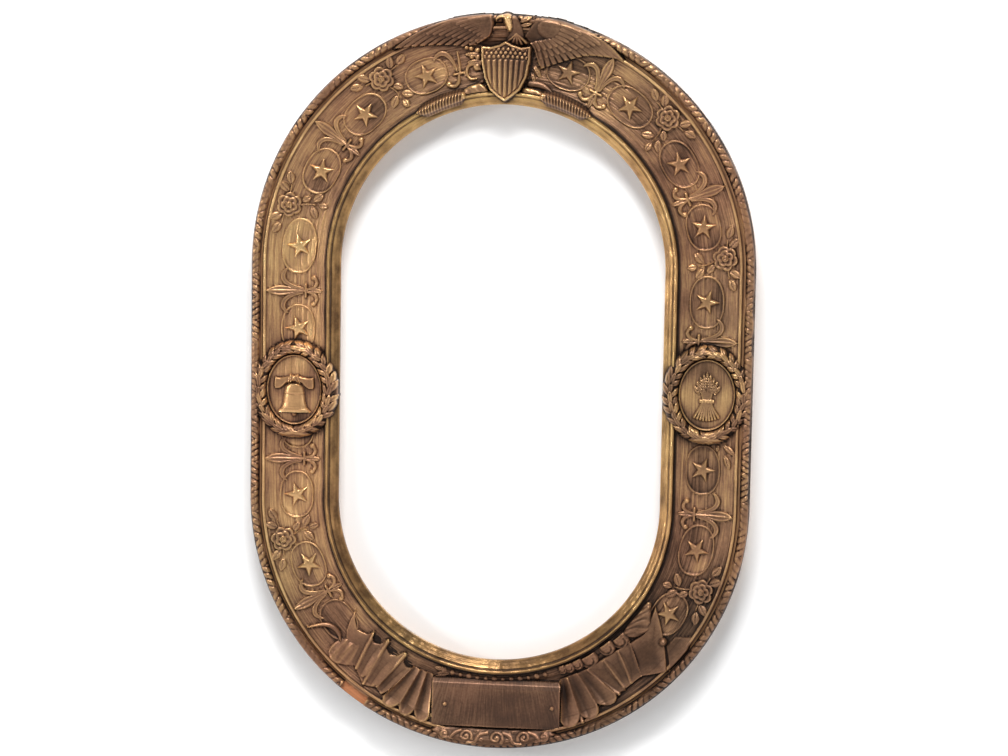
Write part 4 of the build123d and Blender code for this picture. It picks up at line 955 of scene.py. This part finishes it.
def bead_string(patch):
    cord = [(-string_reach, string_across, 2.2), (string_reach, string_across, 2.2)]
    patch.rise(rounded(strip(patch.s, patch.t, cord)[0], 1.0), -0.2)
    for bead in range(string_count):
        along = -string_reach + bead * 2 * string_reach / (string_count - 1)
        radius = 3.0 + 0.6 * math.sin(2.3 * bead)
        patch.rise(dome(patch.s, patch.t, (along, string_across), radius, 2.4))
    raise_leaves(patch, patch.s, patch.t, corner_leaves, 2.2, 0.1)


def leaf_border(patch):
    patch.rise(cushion(depth(patch.s, patch.t, border_bed), 2.0, 1.0), -0.35)
    inside = depth(patch.s, patch.t, smooth_outline(border_leaf))
    waves = 0.6 * np.sin((patch.s + 1.6 * patch.t) / 1.9 + 1.5 * np.sin(patch.t / 3.0))
    patch.rise(cushion(inside, 5.0, 4.4) + np.where(inside > 0.8, waves, 0))
    for along, across, radius in border_scallops:
        u, v = patch.s - along, patch.t - across
        far = np.hypot(u, v) / radius
        angle = np.arctan2(u, v)
        fan = 0.4 * np.cos(7 * angle) * far
        crease = hump(far - 0.58 - 0.14 * angle, 0.10) * step(-2.2, -0.6, angle)
        curl = rounded(far, 4.6) - 1.3 * crease
        patch.rise(np.where((far < 1) & (v > -4), curl + fan * (1 - far ** 4), nowhere), 0.05)


# Every piece of the front: its name, its patches, its material and its slot
pieces = []


def keep_piece(name, patches, material, slot):
    pieces.append((name, patches, material, slot))
    for patch in patches:
        higher = patch.height > top[patch.index]
        top[patch.index] = np.where(higher, patch.height, top[patch.index])
        rub_and_light_map[patch.index] = np.where(higher, patch.rub_and_light + ornament_darkening[patch.index], rub_and_light_map[patch.index])


def drawn(draw, station, low, high, inner, outer, *details):
    patch = Patch(station, low, high, inner, outer)
    draw(patch, *details)
    return patch


# Cartouches: station, length, whether starred, and rubbed brightness, higher on the left side as painted
# light from the left
cartouche_table = {
    "cartouches_upper": [
        (perimeter - 151.0, 47.0, True, 0.1), (perimeter - 79.0, 43.0, True, 0.0),
        (63.0, 44.0, True, -0.25), (132.0, 49.0, True, 0.0), (206.0, 49.0, True, 0.0),
    ],
    "cartouches_right": [
        (272.0, 46.0, True, 0.0), (right_mark - 87.0, 52.0, True, 0.0), (right_mark + 76.0, 50.0, True, -0.2),
    ],
    "cartouches_lower": [
        (right_mark + 156.0, 52.0, True, 0.0), (right_mark + 226.0, 46.0, True, 0.2),
        (left_mark - 250.0, 44.0, False, -0.1), (left_mark - 186.0, 47.0, True, 0.2),
    ],
    "cartouches_left": [
        (left_mark - 114.0, 48.0, True, 0.35), (left_mark - 48.0, 40.0, False, 0.4),
        (left_mark + 51.0, 48.0, True, 0.45), (left_mark + 132.0, 55.0, True, 0.7),
        (left_mark + 210.0, 47.0, True, 0.3),
    ],
}
fleur_stations = {
    "fleur_upper_right": 96.0, "fleur_right_arch": 241.0, "fleur_right_side": right_mark - 49.0,
    "fleur_lower_right": right_mark + 120.0, "fleur_lower_left": left_mark - 219.0,
    "fleur_left_side": left_mark - 78.0, "fleur_left_arch": left_mark + 88.0,
    "fleur_upper_left": perimeter - 186.0,
}
half_fleur_station = perimeter - 46.0
rose_stations = {
    "rose_upper_right": 165.0, "rose_right_arch": 303.0, "rose_lower_right": right_mark + 192.0,
    "rose_lower_left": left_mark - 156.0, "rose_left_arch": left_mark + 169.0,
    "rose_upper_left": perimeter - 118.0,
}
left_wreath_station = left_mark - 9.0
right_wreath_station = right_mark + 2.0
sprig_station = right_mark + 52.0
sprig_leaves = [((-2, 60), (8, 72), 3.2), ((8, 62), (22, 67), 3.2), ((-2, 56), (6, 54), 2.0)]


def sprig(patch):
    raise_leaves(patch, patch.u, patch.v, sprig_leaves, 2.4)


composition = "bronzed_composition"
star_patches = []
for name, group in cartouche_table.items():
    patches = []
    for station, length, starred, rub_and_light in group:
        reach = length / 2 + 8
        patches.append(drawn(cartouche, station, -reach, reach, 21, 61, length, rub_and_light))
        if starred:
            star_patches.append(drawn(star, station, -16, 16, 27, 56, rub_and_light + 0.2))
    keep_piece(name, patches, "cartouche", composition)
keep_piece("stars", star_patches, "ornament", composition)

# The other pieces: the drawing, its station, its reach along and across the band, and its details
drawings = {name: (fleur, station, -30, 30, 14, 73) for name, station in fleur_stations.items()}
drawings["half_fleur"] = (fleur, half_fleur_station, -30, 4, 14, 73, (-1,), False)
drawings |= {name: (rose, station, -40, 40, 14.5, 74) for name, station in rose_stations.items()}
drawings |= {
    "rose_sprig": (sprig, sprig_station, -6, 28, 48, 74),
    "right_drapery": (right_drapery, bottom_mark, -210, -56, 17, 79),
    "left_drapery": (left_drapery, bottom_mark, 54, 200, 15, 79),
    "bead_string": (bead_string, bottom_mark, -63, 72, 14, 32),
    "leaf_border": (leaf_border, bottom_mark, -208, -75, 14, 38),
    "scroll_ornament": (scroll_ornament, bottom_mark, -54, 54, 67, 89),
    "nameplate": (nameplate, bottom_mark, -70, 70, 20, 76),
    "nameplate_pins": (nameplate_pins, bottom_mark, -60, 60, 36, 60),
    "left_medallion": (medallion, left_wreath_station, -38, 38, 13, 73, 0.5),
    "left_wreath": (wreath, left_wreath_station, -50, 50, -1, 88, 1),
    "right_medallion": (medallion, right_wreath_station, -38, 38, 13, 73, 0.25),
    "right_wreath": (wreath, right_wreath_station, -50, 50, -1, 88, -1),
    "bell": (bell, left_wreath_station, -29, 17, 20, 67),
    "wheat_sheaf": (wheat_sheaf, right_wreath_station, -29, 27, 27, 60),
    "eagle_left_wing": (left_wing, 0, -98, -7, 55, 89),
    "eagle_right_wing": (right_wing, 0, 13, 108, 35, 89),
    "eagle_foot": (eagle_foot, 0, -48, 60, 13, 68),
    "eagle_body": (eagle_body, 0, -12, 27, 52, 89.5),
}
other_materials = {
    "left_drapery": "drapery", "right_drapery": "drapery", "nameplate": "plate",
    "left_medallion": "cartouche", "right_medallion": "cartouche",
}
for name, drawing in drawings.items():
    slot = "bronzed_plate" if name.startswith("nameplate") else composition
    keep_piece(name, [drawn(*drawing)], other_materials.get(name, "ornament"), slot)
right_bundle = drawn(ribbed_bundle, 0, 38, 108, 4, 20, bundles[0])
left_bundle = drawn(ribbed_bundle, 0, -108, -40, 4, 20, bundles[1])
keep_piece("ribbed_bundles", [right_bundle, left_bundle], "ornament", composition)
keep_piece("shield", [drawn(shield, 0, -24, 28, 0, 64)], "ornament", composition)

# How much each place stands out from what is round it, fine and coarse; it makes the bronze darker in
# hollows, as dark patina and painted shade, and lighter on raised edges, as rubbed wear and painted highlight
fine_blur = 1.1
coarse_blur = 4.5
fine_height = 0.8
coarse_height = 3.0
relief_low = -1.4
relief_high = 0.8
fine = (top - blurred(top, fine_blur, fine_blur)) / fine_height
coarse = (top - blurred(top, coarse_blur, coarse_blur)) / coarse_height
relief_map = 0.6 * np.where(fine > 0, 0.6 * fine, fine) + np.clip(0.5 * coarse, -0.6, 0.1)
relief_map = np.clip(relief_map, relief_low, relief_high)


def sampled(field, station, across):
    row = np.mod(np.rint(station / row_pitch).astype(int), row_count)
    column = np.clip(np.rint((across - map_low) / pitch).astype(int), 0, column_count - 1)
    return field[row, column]


# Meshes, sharp where their faces meet at more than an angle in degrees
relief_crease = 70.0
moulding_crease = 62.0
skin = 0.05
overlap = 0.9


def new_object(name, crease, points, faces, bands, reliefs, rubs_and_light, raw=None):
    mesh = bpy.data.meshes.new(name)
    corners = np.concatenate([np.asarray(face, np.int32).ravel() for face in faces])
    sizes = np.concatenate([np.full(len(face), np.asarray(face).shape[1], np.int32) for face in faces])
    starts = np.concatenate([[0], np.cumsum(sizes)[:-1]]).astype(np.int32)
    mesh.vertices.add(len(points))
    mesh.vertices.foreach_set("co", (np.asarray(points) * mm).astype(np.float32).ravel())
    mesh.loops.add(len(corners))
    mesh.loops.foreach_set("vertex_index", corners)
    mesh.polygons.add(len(sizes))
    mesh.polygons.foreach_set("loop_start", starts)
    mesh.polygons.foreach_set("loop_total", sizes)
    mesh.update(calc_edges=True)
    mesh.validate()
    mesh.shade_smooth()
    mesh.set_sharp_from_angle(angle=math.radians(crease))
    values = {"relief": reliefs, "rub_and_light": rubs_and_light, "raw": np.zeros(len(points)) if raw is None else raw}
    for key, value in values.items():
        mesh.attributes.new(key, "FLOAT", "POINT").data.foreach_set("value", np.asarray(value, np.float32))
    band = mesh.attributes.new("band", "FLOAT_VECTOR", "POINT")
    band.data.foreach_set("vector", np.asarray(bands, np.float32).ravel())
    made = bpy.data.objects.new(name, mesh)
    bpy.context.scene.collection.objects.link(made)
    return made


# A closed relief: the front of each patch, a back just under the moulding, and walls between
def relief_object(name, patches):
    points, bands, reliefs, rubs_and_light, faces = [], [], [], [], []
    count = 0
    for patch in patches:
        shown = top[patch.index]
        floor = patch.base - buried
        wanted = (patch.height > patch.base - skin) & (patch.height > shown - overlap)
        cell = wanted[:-1, :-1] | wanted[1:, :-1] | wanted[:-1, 1:] | wanted[1:, 1:]
        used = np.zeros(wanted.shape, bool)
        for a, b in ((0, 0), (1, 0), (0, 1), (1, 1)):
            rows, columns = cell.shape
            used[a:a + rows, b:b + columns] |= cell
        number = np.full(used.shape, -1)
        amount = int(used.sum())
        number[used] = np.arange(amount)
        front = np.maximum(patch.height, floor + skin)
        for height in (front, floor):
            points.append(np.stack([patch.x[used], -height[used], patch.z[used]], axis=1))
            station = patch.rows[:, None] * row_pitch + 0 * patch.t
            bands.append(np.stack([station, patch.t, height], axis=2)[used])
            reliefs.append(relief_map[patch.index][used])
            rubs_and_light.append(rub_and_light_map[patch.index][used])
        a, b = number[:-1, :-1][cell], number[1:, :-1][cell]
        c, d = number[1:, 1:][cell], number[:-1, 1:][cell]
        fronts = np.stack([a, d, c, b], axis=1)
        faces.append(fronts + count)
        faces.append(fronts[:, ::-1] + amount + count)
        edges = np.concatenate([fronts[:, [k, (k + 1) % 4]] for k in range(4)])
        codes = edges[:, 0].astype(np.int64) * amount + edges[:, 1]
        twins = edges[:, 1].astype(np.int64) * amount + edges[:, 0]
        border = edges[~np.isin(codes, twins)]
        start, end = border[:, 0], border[:, 1]
        faces.append(np.stack([end, start, start + amount, end + amount], axis=1) + count)
        count += 2 * amount
    joined = [np.concatenate(part) for part in (points, bands, reliefs, rubs_and_light)]
    return new_object(name, relief_crease, joined[0], faces, *joined[1:])


# A closed length of moulding: a section carried along stations, its front taken from the map
def swept_object(name, lengthwise, section, closed=False):
    across = np.array([row[0] for row in section])
    height = np.array([row[1] for row in section])
    front = np.array([row[2] for row in section], float)
    station, aside = np.meshgrid(lengthwise, across, indexing="ij")
    raised = np.where(front > 0, sampled(ground, station, aside), height[None, :])
    x, z = place(station, aside)[:2]
    if not closed:
        for end, inward in ((0, 1e-6), (-1, -1e-6)):
            x[end], z[end] = place(lengthwise[end] + inward, across)[:2]
    relief = np.where(front > 0, sampled(relief_map, station, aside), 0)
    grids = [x, -raised, z, station, aside, raised, relief]
    raw, rub_and_light = (np.array([row[key] for row in section], float) + 0 * station for key in (3, 4))
    grids += [raw, np.where(raw > 0, rub_and_light, rub_and_light + sampled(ground_rub_and_light, station, aside))]
    rows, columns = station.shape
    number = np.arange(rows * columns).reshape(rows, columns)
    around = np.roll(number, -1, axis=1)
    if closed:
        ahead, ahead_around = np.roll(number, -1, axis=0), np.roll(around, -1, axis=0)
        faces = [np.stack([number, around, ahead_around, ahead], axis=2).reshape(-1, 4)]
    else:
        grids = [np.concatenate([grid, grid[:1], grid[-1:]]) for grid in grids]
        cap = np.arange(columns) + rows * columns
        quads = np.stack([number[:-1], around[:-1], around[1:], number[1:]], axis=2).reshape(-1, 4)
        faces = [quads, cap[None, ::-1], cap[None, :] + columns]
    table = np.stack(grids, axis=2).reshape(-1, len(grids))
    points, bands, relief, raw, rub_and_light = table[:, :3], table[:, 3:6], table[:, 6], table[:, 7], table[:, 8]
    return new_object(name, moulding_crease, points, faces, bands, relief, rub_and_light, raw)


# Sections: distance across, height, whether the map gives the height, bare wood, rubbed brightness with
# painted light and shade
def rows_at(values, height, mapped, raw, rub_and_light):
    return [(value, height, mapped, raw, rub_and_light) for value in values]


rim_seat_points = (rim_start + 0.8, 80.0, 82.0, 84.0, 86.0, band_width - 0.4)
# Core: painted shade at the foot of the cove's step and in the grooves beside the fillet, a painted highlight
# along the fillet's top, painted shade on the outer side
core_section = [
    (rebate_across, -rebate_depth, 0, 1, 0), (rebate_across, 0.25, 0, 1, 0), (cove_start, 0.25, 0, 1, 0),
    (cove_start, 8.3, 0, 0, -0.8), *rows_at(np.linspace(cove_start + 0.05, cove_end - 0.35, 118), 0, 1, 0, 0),
    (cove_end - 0.05, 13.0, 0, 0, -0.5), (cove_end + 0.1, 14.4, 0, 0, 0.3), (cove_end + 0.5, 14.8, 0, 0, 0.6),
    (cove_end + 1.5, 15.0, 0, 0, 0.65), (fillet_end - 0.5, 14.8, 0, 0, 0.5),
    (fillet_end - 0.1, 14.3, 0, 0, 0.0), (fillet_end, 13.4, 0, 0, -0.2), (fillet_end + 0.4, 12.6, 0, 0, -0.2),
    *rows_at(rim_seat_points, rim_seat_height, 0, 1, 1), (band_width, rim_seat_height - 0.4, 0, 0, -0.3),
    (band_width, 4.0, 0, 0, -0.5), (band_width, -6.0, 0, 0, -0.5), (band_width, -rebate_depth + 0.6, 0, 1, 0),
    *rows_at((band_width - 0.6, 60.0, 34.0), -rebate_depth, 0, 1, 0),
]
liner_lip = 7.6
# Liner: painted shade at the step down to the cove
liner_section = [
    (0.0, 0.0, 0, 0, 0.0), (0.0, 2.6, 0, 0, 0.0),
    *rows_at(np.arange(0.25, liner_width - 0.3, 0.5), 0, 1, 0, 0), (liner_width, 10.6, 0, 0, -0.5),
    (liner_width, 0.5, 0, 1, 0), (liner_lip, 0.5, 0, 1, 0), (liner_lip, 0.0, 0, 1, 0),
]
# Rim: painted shade along its edges, most on the outer one
rim_section = [
    (rim_start, rim_base_height, 0, 0, -0.3),
    *rows_at(np.arange(rim_start + 0.25, band_width, 0.5), 0, 1, 0, -0.26),
    (band_width, rim_base_height, 0, 0, -0.6),
]


def steps_between(first, last, size):
    return np.linspace(first, last, max(2, round((last - first) / size)) + 1)


bottom_end = 3 * quarter_turn + straight
lengths = {
    "top_arch": (perimeter - quarter_turn, perimeter + quarter_turn, "leaf_rim_top"),
    "right_rail": (quarter_turn, quarter_turn + straight, "leaf_rim_right"),
    "bottom_arch": (quarter_turn + straight, bottom_end, "leaf_rim_bottom"),
    "left_rail": (bottom_end, bottom_end + straight, "leaf_rim_left"),
}


# Materials
def new_material(name):
    material = bpy.data.materials.new(name)
    material.use_nodes = True
    tree = material.node_tree
    shader = tree.nodes["Principled BSDF"]
    return material, tree, shader


def add_node(tree, kind, inputs=(), **settings):
    node = tree.nodes.new(kind)
    for key, value in settings.items():
        setattr(node, key, value)
    for key, value in dict(inputs).items():
        if isinstance(value, bpy.types.NodeSocket):
            tree.links.new(value, node.inputs[key])
        else:
            node.inputs[key].default_value = value
    return node


def attribute(tree, name):
    return add_node(tree, "ShaderNodeAttribute", attribute_name=name)


def math_node(tree, operation, first, second=0.0, third=0.0):
    return add_node(tree, "ShaderNodeMath", {0: first, 1: second, 2: third}, operation=operation).outputs[0]


def ramp(tree, value, stops):
    node = add_node(tree, "ShaderNodeValToRGB", {0: value})
    band = node.color_ramp
    for number, (place_at, colour) in enumerate(stops):
        if number < 2:
            stop = band.elements[number]
            stop.position = place_at
        else:
            stop = band.elements.new(place_at)
        stop.color = (*colour, 1.0)
    return node.outputs[0]


def noise(tree, vector, scale, detail, rough):
    return add_node(tree, "ShaderNodeTexNoise", {
        "Vector": vector, "Scale": scale, "Detail": detail, "Roughness": rough
    }).outputs["Fac"]


def mixed(tree, share, first, second, blend="MIX"):
    inputs = {0: share, 6: first, 7: second}
    return add_node(tree, "ShaderNodeMix", inputs, data_type="RGBA", blend_type=blend).outputs[2]


# Bronze tones from dark to light; the darkest also serves painted shade and the lighter ones painted light
dark_patina_and_shade = (0.018, 0.0085, 0.005)
brown = (0.100, 0.051, 0.029)
bronze = (0.245, 0.128, 0.073)
rubbed_and_lit = (0.50, 0.290, 0.135)
gold = (0.86, 0.57, 0.27)
bronze_shades = (dark_patina_and_shade, brown, bronze, rubbed_and_lit, gold)
bare_wood = (0.46, 0.27, 0.13)
bare_back = (0.23, 0.145, 0.085)
torn_wood = (0.52, 0.195, 0.075)
torn_dark = (0.30, 0.105, 0.042)
gilt_shades = (
    (0.035, 0.017, 0.007), (0.13, 0.070, 0.028), (0.31, 0.175, 0.070), (0.58, 0.35, 0.14), (0.90, 0.62, 0.30),
)
brass_shades = ((0.22, 0.15, 0.06), (0.48, 0.34, 0.14), (0.62, 0.46, 0.21))
steel_shades = ((0.13, 0.115, 0.10), (0.30, 0.29, 0.27), (0.45, 0.44, 0.42))
middle_tone = 0.48
relief_share = 0.46
rub_and_light_share = 0.42
patch_share = 0.42
speck_share = 0.18
tone_stops = (0.0, 0.25, 0.45, 0.70, 1.0)
metal_stops = (0.3, 0.5, 0.7)
drawn_scale = (900.0, 900.0, 60.0)
slow_scale = 8.0
patch_scale = 30.0
speck_scale = 420.0
metal_patch_scale = 90.0
metal_share = 0.95
bump_depth = 0.0006
scratch_depth = 0.0003


def bronze_material(name, shades, metal, rough, streaks, bump, stretch=(0.04, 0.9, 0.0)):
    material, tree, shader = new_material(name)
    position = add_node(tree, "ShaderNodeNewGeometry").outputs["Position"]
    relief = attribute(tree, "relief").outputs["Fac"]
    rub_and_light = attribute(tree, "rub_and_light").outputs["Fac"]
    band = attribute(tree, "band").outputs["Vector"]
    raw = attribute(tree, "raw").outputs["Fac"]
    slow = noise(tree, position, slow_scale, 2.0, 0.5)
    patches = noise(tree, position, patch_scale, 5.0, 0.6)
    specks = noise(tree, position, speck_scale, 3.0, 0.6)
    stretched = add_node(tree, "ShaderNodeVectorMath", {0: band, 1: stretch}, operation="MULTIPLY")
    lines = noise(tree, stretched.outputs[0], 1.0, 6.0, 0.65)
    # Tone: dark patina and painted shade in hollows and rubbed wear and painted highlight on raised edges
    # from the relief, then the rubbed brightness with its painted light
    tone = math_node(tree, "MULTIPLY_ADD", relief, relief_share, middle_tone)
    tone = math_node(tree, "MULTIPLY_ADD", rub_and_light, rub_and_light_share, tone)
    for spread, share in ((patches, patch_share), (specks, speck_share), (lines, streaks)):
        tone = math_node(tree, "MULTIPLY_ADD", math_node(tree, "SUBTRACT", spread, 0.5), share, tone)
    colour = ramp(tree, tone, list(zip(tone_stops, shades)))
    tint = ramp(tree, slow, [(0.35, (1.0, 0.93, 0.90)), (0.65, (1.0, 1.05, 0.98))])
    colour = mixed(tree, 1.0, colour, tint, "MULTIPLY")
    fibres = ramp(tree, lines, [(0.25, bare_back), (0.75, bare_wood)])
    torn = ramp(tree, lines, [(0.3, torn_dark), (0.6, torn_wood)])
    colour = mixed(tree, raw, colour, mixed(tree, rub_and_light, fibres, torn))
    tree.links.new(colour, shader.inputs["Base Color"])
    shine = math_node(tree, "MULTIPLY_ADD", tone, -0.30, rough + 0.12)
    shine = math_node(tree, "MULTIPLY_ADD", raw, 0.35, shine)
    tree.links.new(shine, shader.inputs["Roughness"])
    covered = math_node(tree, "SUBTRACT", 1.0, raw)
    tree.links.new(math_node(tree, "MULTIPLY", covered, metal), shader.inputs["Metallic"])
    rough_skin = math_node(tree, "MULTIPLY_ADD", lines, 2.2 * streaks, specks)
    bumps = add_node(tree, "ShaderNodeBump", {"Height": rough_skin, "Strength": bump, "Distance": bump_depth})
    tree.links.new(bumps.outputs[0], shader.inputs["Normal"])
    return material


def metal_material(name, shades, rough):
    material, tree, shader = new_material(name)
    position = add_node(tree, "ShaderNodeNewGeometry").outputs["Position"]
    patches = noise(tree, position, metal_patch_scale, 5.0, 0.6)
    drawn_lines = add_node(tree, "ShaderNodeVectorMath", {0: position, 1: drawn_scale}, operation="MULTIPLY")
    lines = noise(tree, drawn_lines.outputs[0], 1.0, 3.0, 0.6)
    tone = math_node(tree, "MULTIPLY_ADD", lines, 0.35, math_node(tree, "MULTIPLY", patches, 0.65))
    tree.links.new(ramp(tree, tone, list(zip(metal_stops, shades))), shader.inputs["Base Color"])
    tree.links.new(math_node(tree, "MULTIPLY_ADD", patches, 0.3, rough - 0.15), shader.inputs["Roughness"])
    shader.inputs["Metallic"].default_value = metal_share
    bumps = add_node(tree, "ShaderNodeBump", {"Height": lines, "Strength": 0.25, "Distance": scratch_depth})
    tree.links.new(bumps.outputs[0], shader.inputs["Normal"])
    return material


materials = {
    "field": bronze_material("streaked_bronze", bronze_shades, 0.70, 0.44, 0.75, 0.5),
    "ornament": bronze_material("cast_bronze", bronze_shades, 0.70, 0.42, 0.12, 0.4),
    "cartouche": bronze_material("rubbed_bronze", bronze_shades, 0.70, 0.42, 0.65, 0.45),
    "drapery": bronze_material("smooth_bronze", bronze_shades, 0.70, 0.42, 0.15, 0.3),
    "plate": bronze_material("plate_bronze", bronze_shades, 0.55, 0.42, 0.45, 0.3, (0.6, 0.03, 0.0)),
    "rim": bronze_material("rim_bronze", bronze_shades, 0.70, 0.44, 0.10, 0.4),
    "liner": bronze_material("hammered_gilt", gilt_shades, 0.70, 0.36, 0.12, 0.3),
    "brass": metal_material("dull_brass", brass_shades, 0.40),
    "steel": metal_material("dull_steel", steel_shades, 0.42),
}


# Distance in millimetres between the sections along each moulding
core_step = 2.0
rim_step = 0.7
liner_step = 1.2
liner_count = round(perimeter / liner_step)


def dress(made, key, slot, *nodes):
    made.data.materials.clear()
    made.data.materials.append(materials[key])
    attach(made, "frame")
    if nodes:
        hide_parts(*nodes)


for name, (first, last, rim_name) in lengths.items():
    made = swept_object(name + "_wood", steps_between(first, last, core_step), core_section)
    dress(made, "field", "core_wood", name)
    spans = [(first, last)]
    if rim_name == "leaf_rim_bottom":
        spans = [(first, chip_start), (chip_end, last)]
    for number, (start, stop) in enumerate(spans):
        rim_steps = steps_between(start, stop, rim_step)
        made = swept_object(rim_name + "_carved_" + str(number + 1), rim_steps, rim_section)
        dress(made, "rim", "bronzed_rim", *([rim_name] if number == 0 else []))
liner_steps = np.arange(liner_count) * perimeter / liner_count
made = swept_object("sight_liner_hammered", liner_steps, liner_section, True)
dress(made, "liner", "gilt_liner", "sight_liner")

for name, patches, key, slot in pieces:
    made = relief_object(name + "_relief", patches)
    dress(made, key, slot, *([name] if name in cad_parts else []))

for name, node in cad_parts.items():
    if node.hide_render:
        continue
    key = "steel"
    if name.startswith("turn_button"):
        key = "brass"
    elif name == "joint_splines":
        key = "field"
    node.data.materials.clear()
    node.data.materials.append(materials[key])

# Camera, fitted to the outline of the frame in the photograph
pixel_width = 1008
focal_pixels = 2659.6
distance = 2600.0
yaw, pitch_angle, roll = (math.radians(value) for value in (-6.74, 6.65, 0.98))
shift_right, shift_up = -3.57, -6.99
turned = Matrix.Rotation(roll, 3, "Y") @ Matrix.Rotation(pitch_angle, 3, "X") @ Matrix.Rotation(yaw, 3, "Z")
to_camera = Matrix((
    (*turned[0], shift_right * mm), (*turned[2], shift_up * mm), (*(-turned[1]), -distance * mm), (0, 0, 0, 1)
))
camera_data = bpy.data.cameras.new("camera")
camera_data.sensor_width = 36.0
camera_data.lens = focal_pixels / pixel_width * camera_data.sensor_width
camera = bpy.data.objects.new("camera", camera_data)
camera.matrix_world = to_camera.inverted()
bpy.context.scene.collection.objects.link(camera)
bpy.context.scene.camera = camera


# Lights, turned to the middle of the frame
def area_light(name, place_at, size, power):
    light = bpy.data.lights.new(name, "AREA")
    light.size = size
    light.energy = power
    lamp = bpy.data.objects.new(name, light)
    lamp.location = place_at
    lamp.rotation_euler = (-Vector(place_at)).to_track_quat("-Z", "Y").to_euler()
    bpy.context.scene.collection.objects.link(lamp)


area_light("key", (0.12, -1.5, 2.0), 0.9, 74.0)
area_light("glint", (-1.8, -1.3, 0.2), 0.3, 11.0)
area_light("fill", (1.6, -1.5, -0.1), 0.8, 4.0)
area_light("back", (0.5, 2.2, 1.0), 0.9, 50.0)

sky_colour = (0.96, 0.97, 1.0, 1.0)
sky_strength = 0.18
world = bpy.data.worlds.new("studio")
bpy.context.scene.world = world
world.use_nodes = True
surroundings = world.node_tree.nodes["Background"]
surroundings.inputs["Color"].default_value = sky_colour
surroundings.inputs["Strength"].default_value = sky_strength


# Pale floor, and a pale wall that is seen only from the front and lets the lamp behind through
# Both glow less near the frame, where its shadow falls, from one distance in metres to another
glow_start = 0.055
glow_full = 0.11
least_glow = 0.12
most_glow = 0.65


def stage_material(name, shade, one_sided):
    material, tree, shader = new_material(name)
    tree.nodes.remove(shader)
    paths = add_node(tree, "ShaderNodeLightPath")
    matte = add_node(tree, "ShaderNodeBsdfDiffuse", {"Color": (shade, shade, shade, 1)})
    glow = add_node(tree, "ShaderNodeEmission", {"Color": (1, 1, 1, 1)})
    geometry = add_node(tree, "ShaderNodeNewGeometry")
    spot = add_node(tree, "ShaderNodeSeparateXYZ", {0: geometry.outputs["Position"]})
    beyond = math_node(tree, "SUBTRACT", math_node(tree, "ABSOLUTE", spot.outputs[2]), half_straight * mm)
    beyond = math_node(tree, "MAXIMUM", beyond, 0.0)
    reach = math_node(tree, "SQRT", math_node(
        tree, "MULTIPLY_ADD", beyond, beyond, math_node(tree, "MULTIPLY", spot.outputs[0], spot.outputs[0])
    ))
    apart = math_node(tree, "ABSOLUTE", math_node(tree, "SUBTRACT", reach, middle_radius * mm))
    lift = add_node(tree, "ShaderNodeMapRange", {
        "Value": apart, 1: glow_start, 2: glow_full, 3: least_glow, 4: most_glow
    }).outputs[0]
    seen = math_node(tree, "MAXIMUM", paths.outputs["Is Camera Ray"], paths.outputs["Is Glossy Ray"])
    seen = math_node(tree, "MAXIMUM", seen, paths.outputs["Is Transmission Ray"])
    tree.links.new(math_node(tree, "MULTIPLY", seen, lift), glow.inputs["Strength"])
    shown = add_node(tree, "ShaderNodeAddShader", {0: matte.outputs[0], 1: glow.outputs[0]}).outputs[0]
    if one_sided:
        clear = add_node(tree, "ShaderNodeBsdfTransparent")
        shown = add_node(tree, "ShaderNodeMixShader", {
            0: geometry.outputs["Backfacing"], 1: shown, 2: clear.outputs[0]
        }).outputs[0]
    tree.links.new(shown, tree.nodes["Material Output"].inputs["Surface"])
    return material


def stage_plane(name, corners, shade, one_sided):
    mesh = bpy.data.meshes.new(name)
    mesh.from_pydata(corners, [], [range(4)])
    mesh.materials.append(stage_material(name + "_paint", shade, one_sided))
    made = bpy.data.objects.new(name, mesh)
    made.visible_shadow = not one_sided
    bpy.context.scene.collection.objects.link(made)


wall_y = 0.022
floor_z = -0.40
stage_reach = 4
wall_shade = 0.9
floor_shade = 0.35
wall_foot = [(-stage_reach, wall_y, floor_z), (stage_reach, wall_y, floor_z)]
wall_head = [(stage_reach, wall_y, stage_reach), (-stage_reach, wall_y, stage_reach)]
floor_front = [(-stage_reach, -stage_reach, floor_z), (stage_reach, -stage_reach, floor_z)]
stage_plane("wall", wall_foot + wall_head, wall_shade, True)
stage_plane("floor", floor_front + wall_foot[::-1], floor_shade, False)

bpy.context.scene.view_settings.view_transform = "Standard"
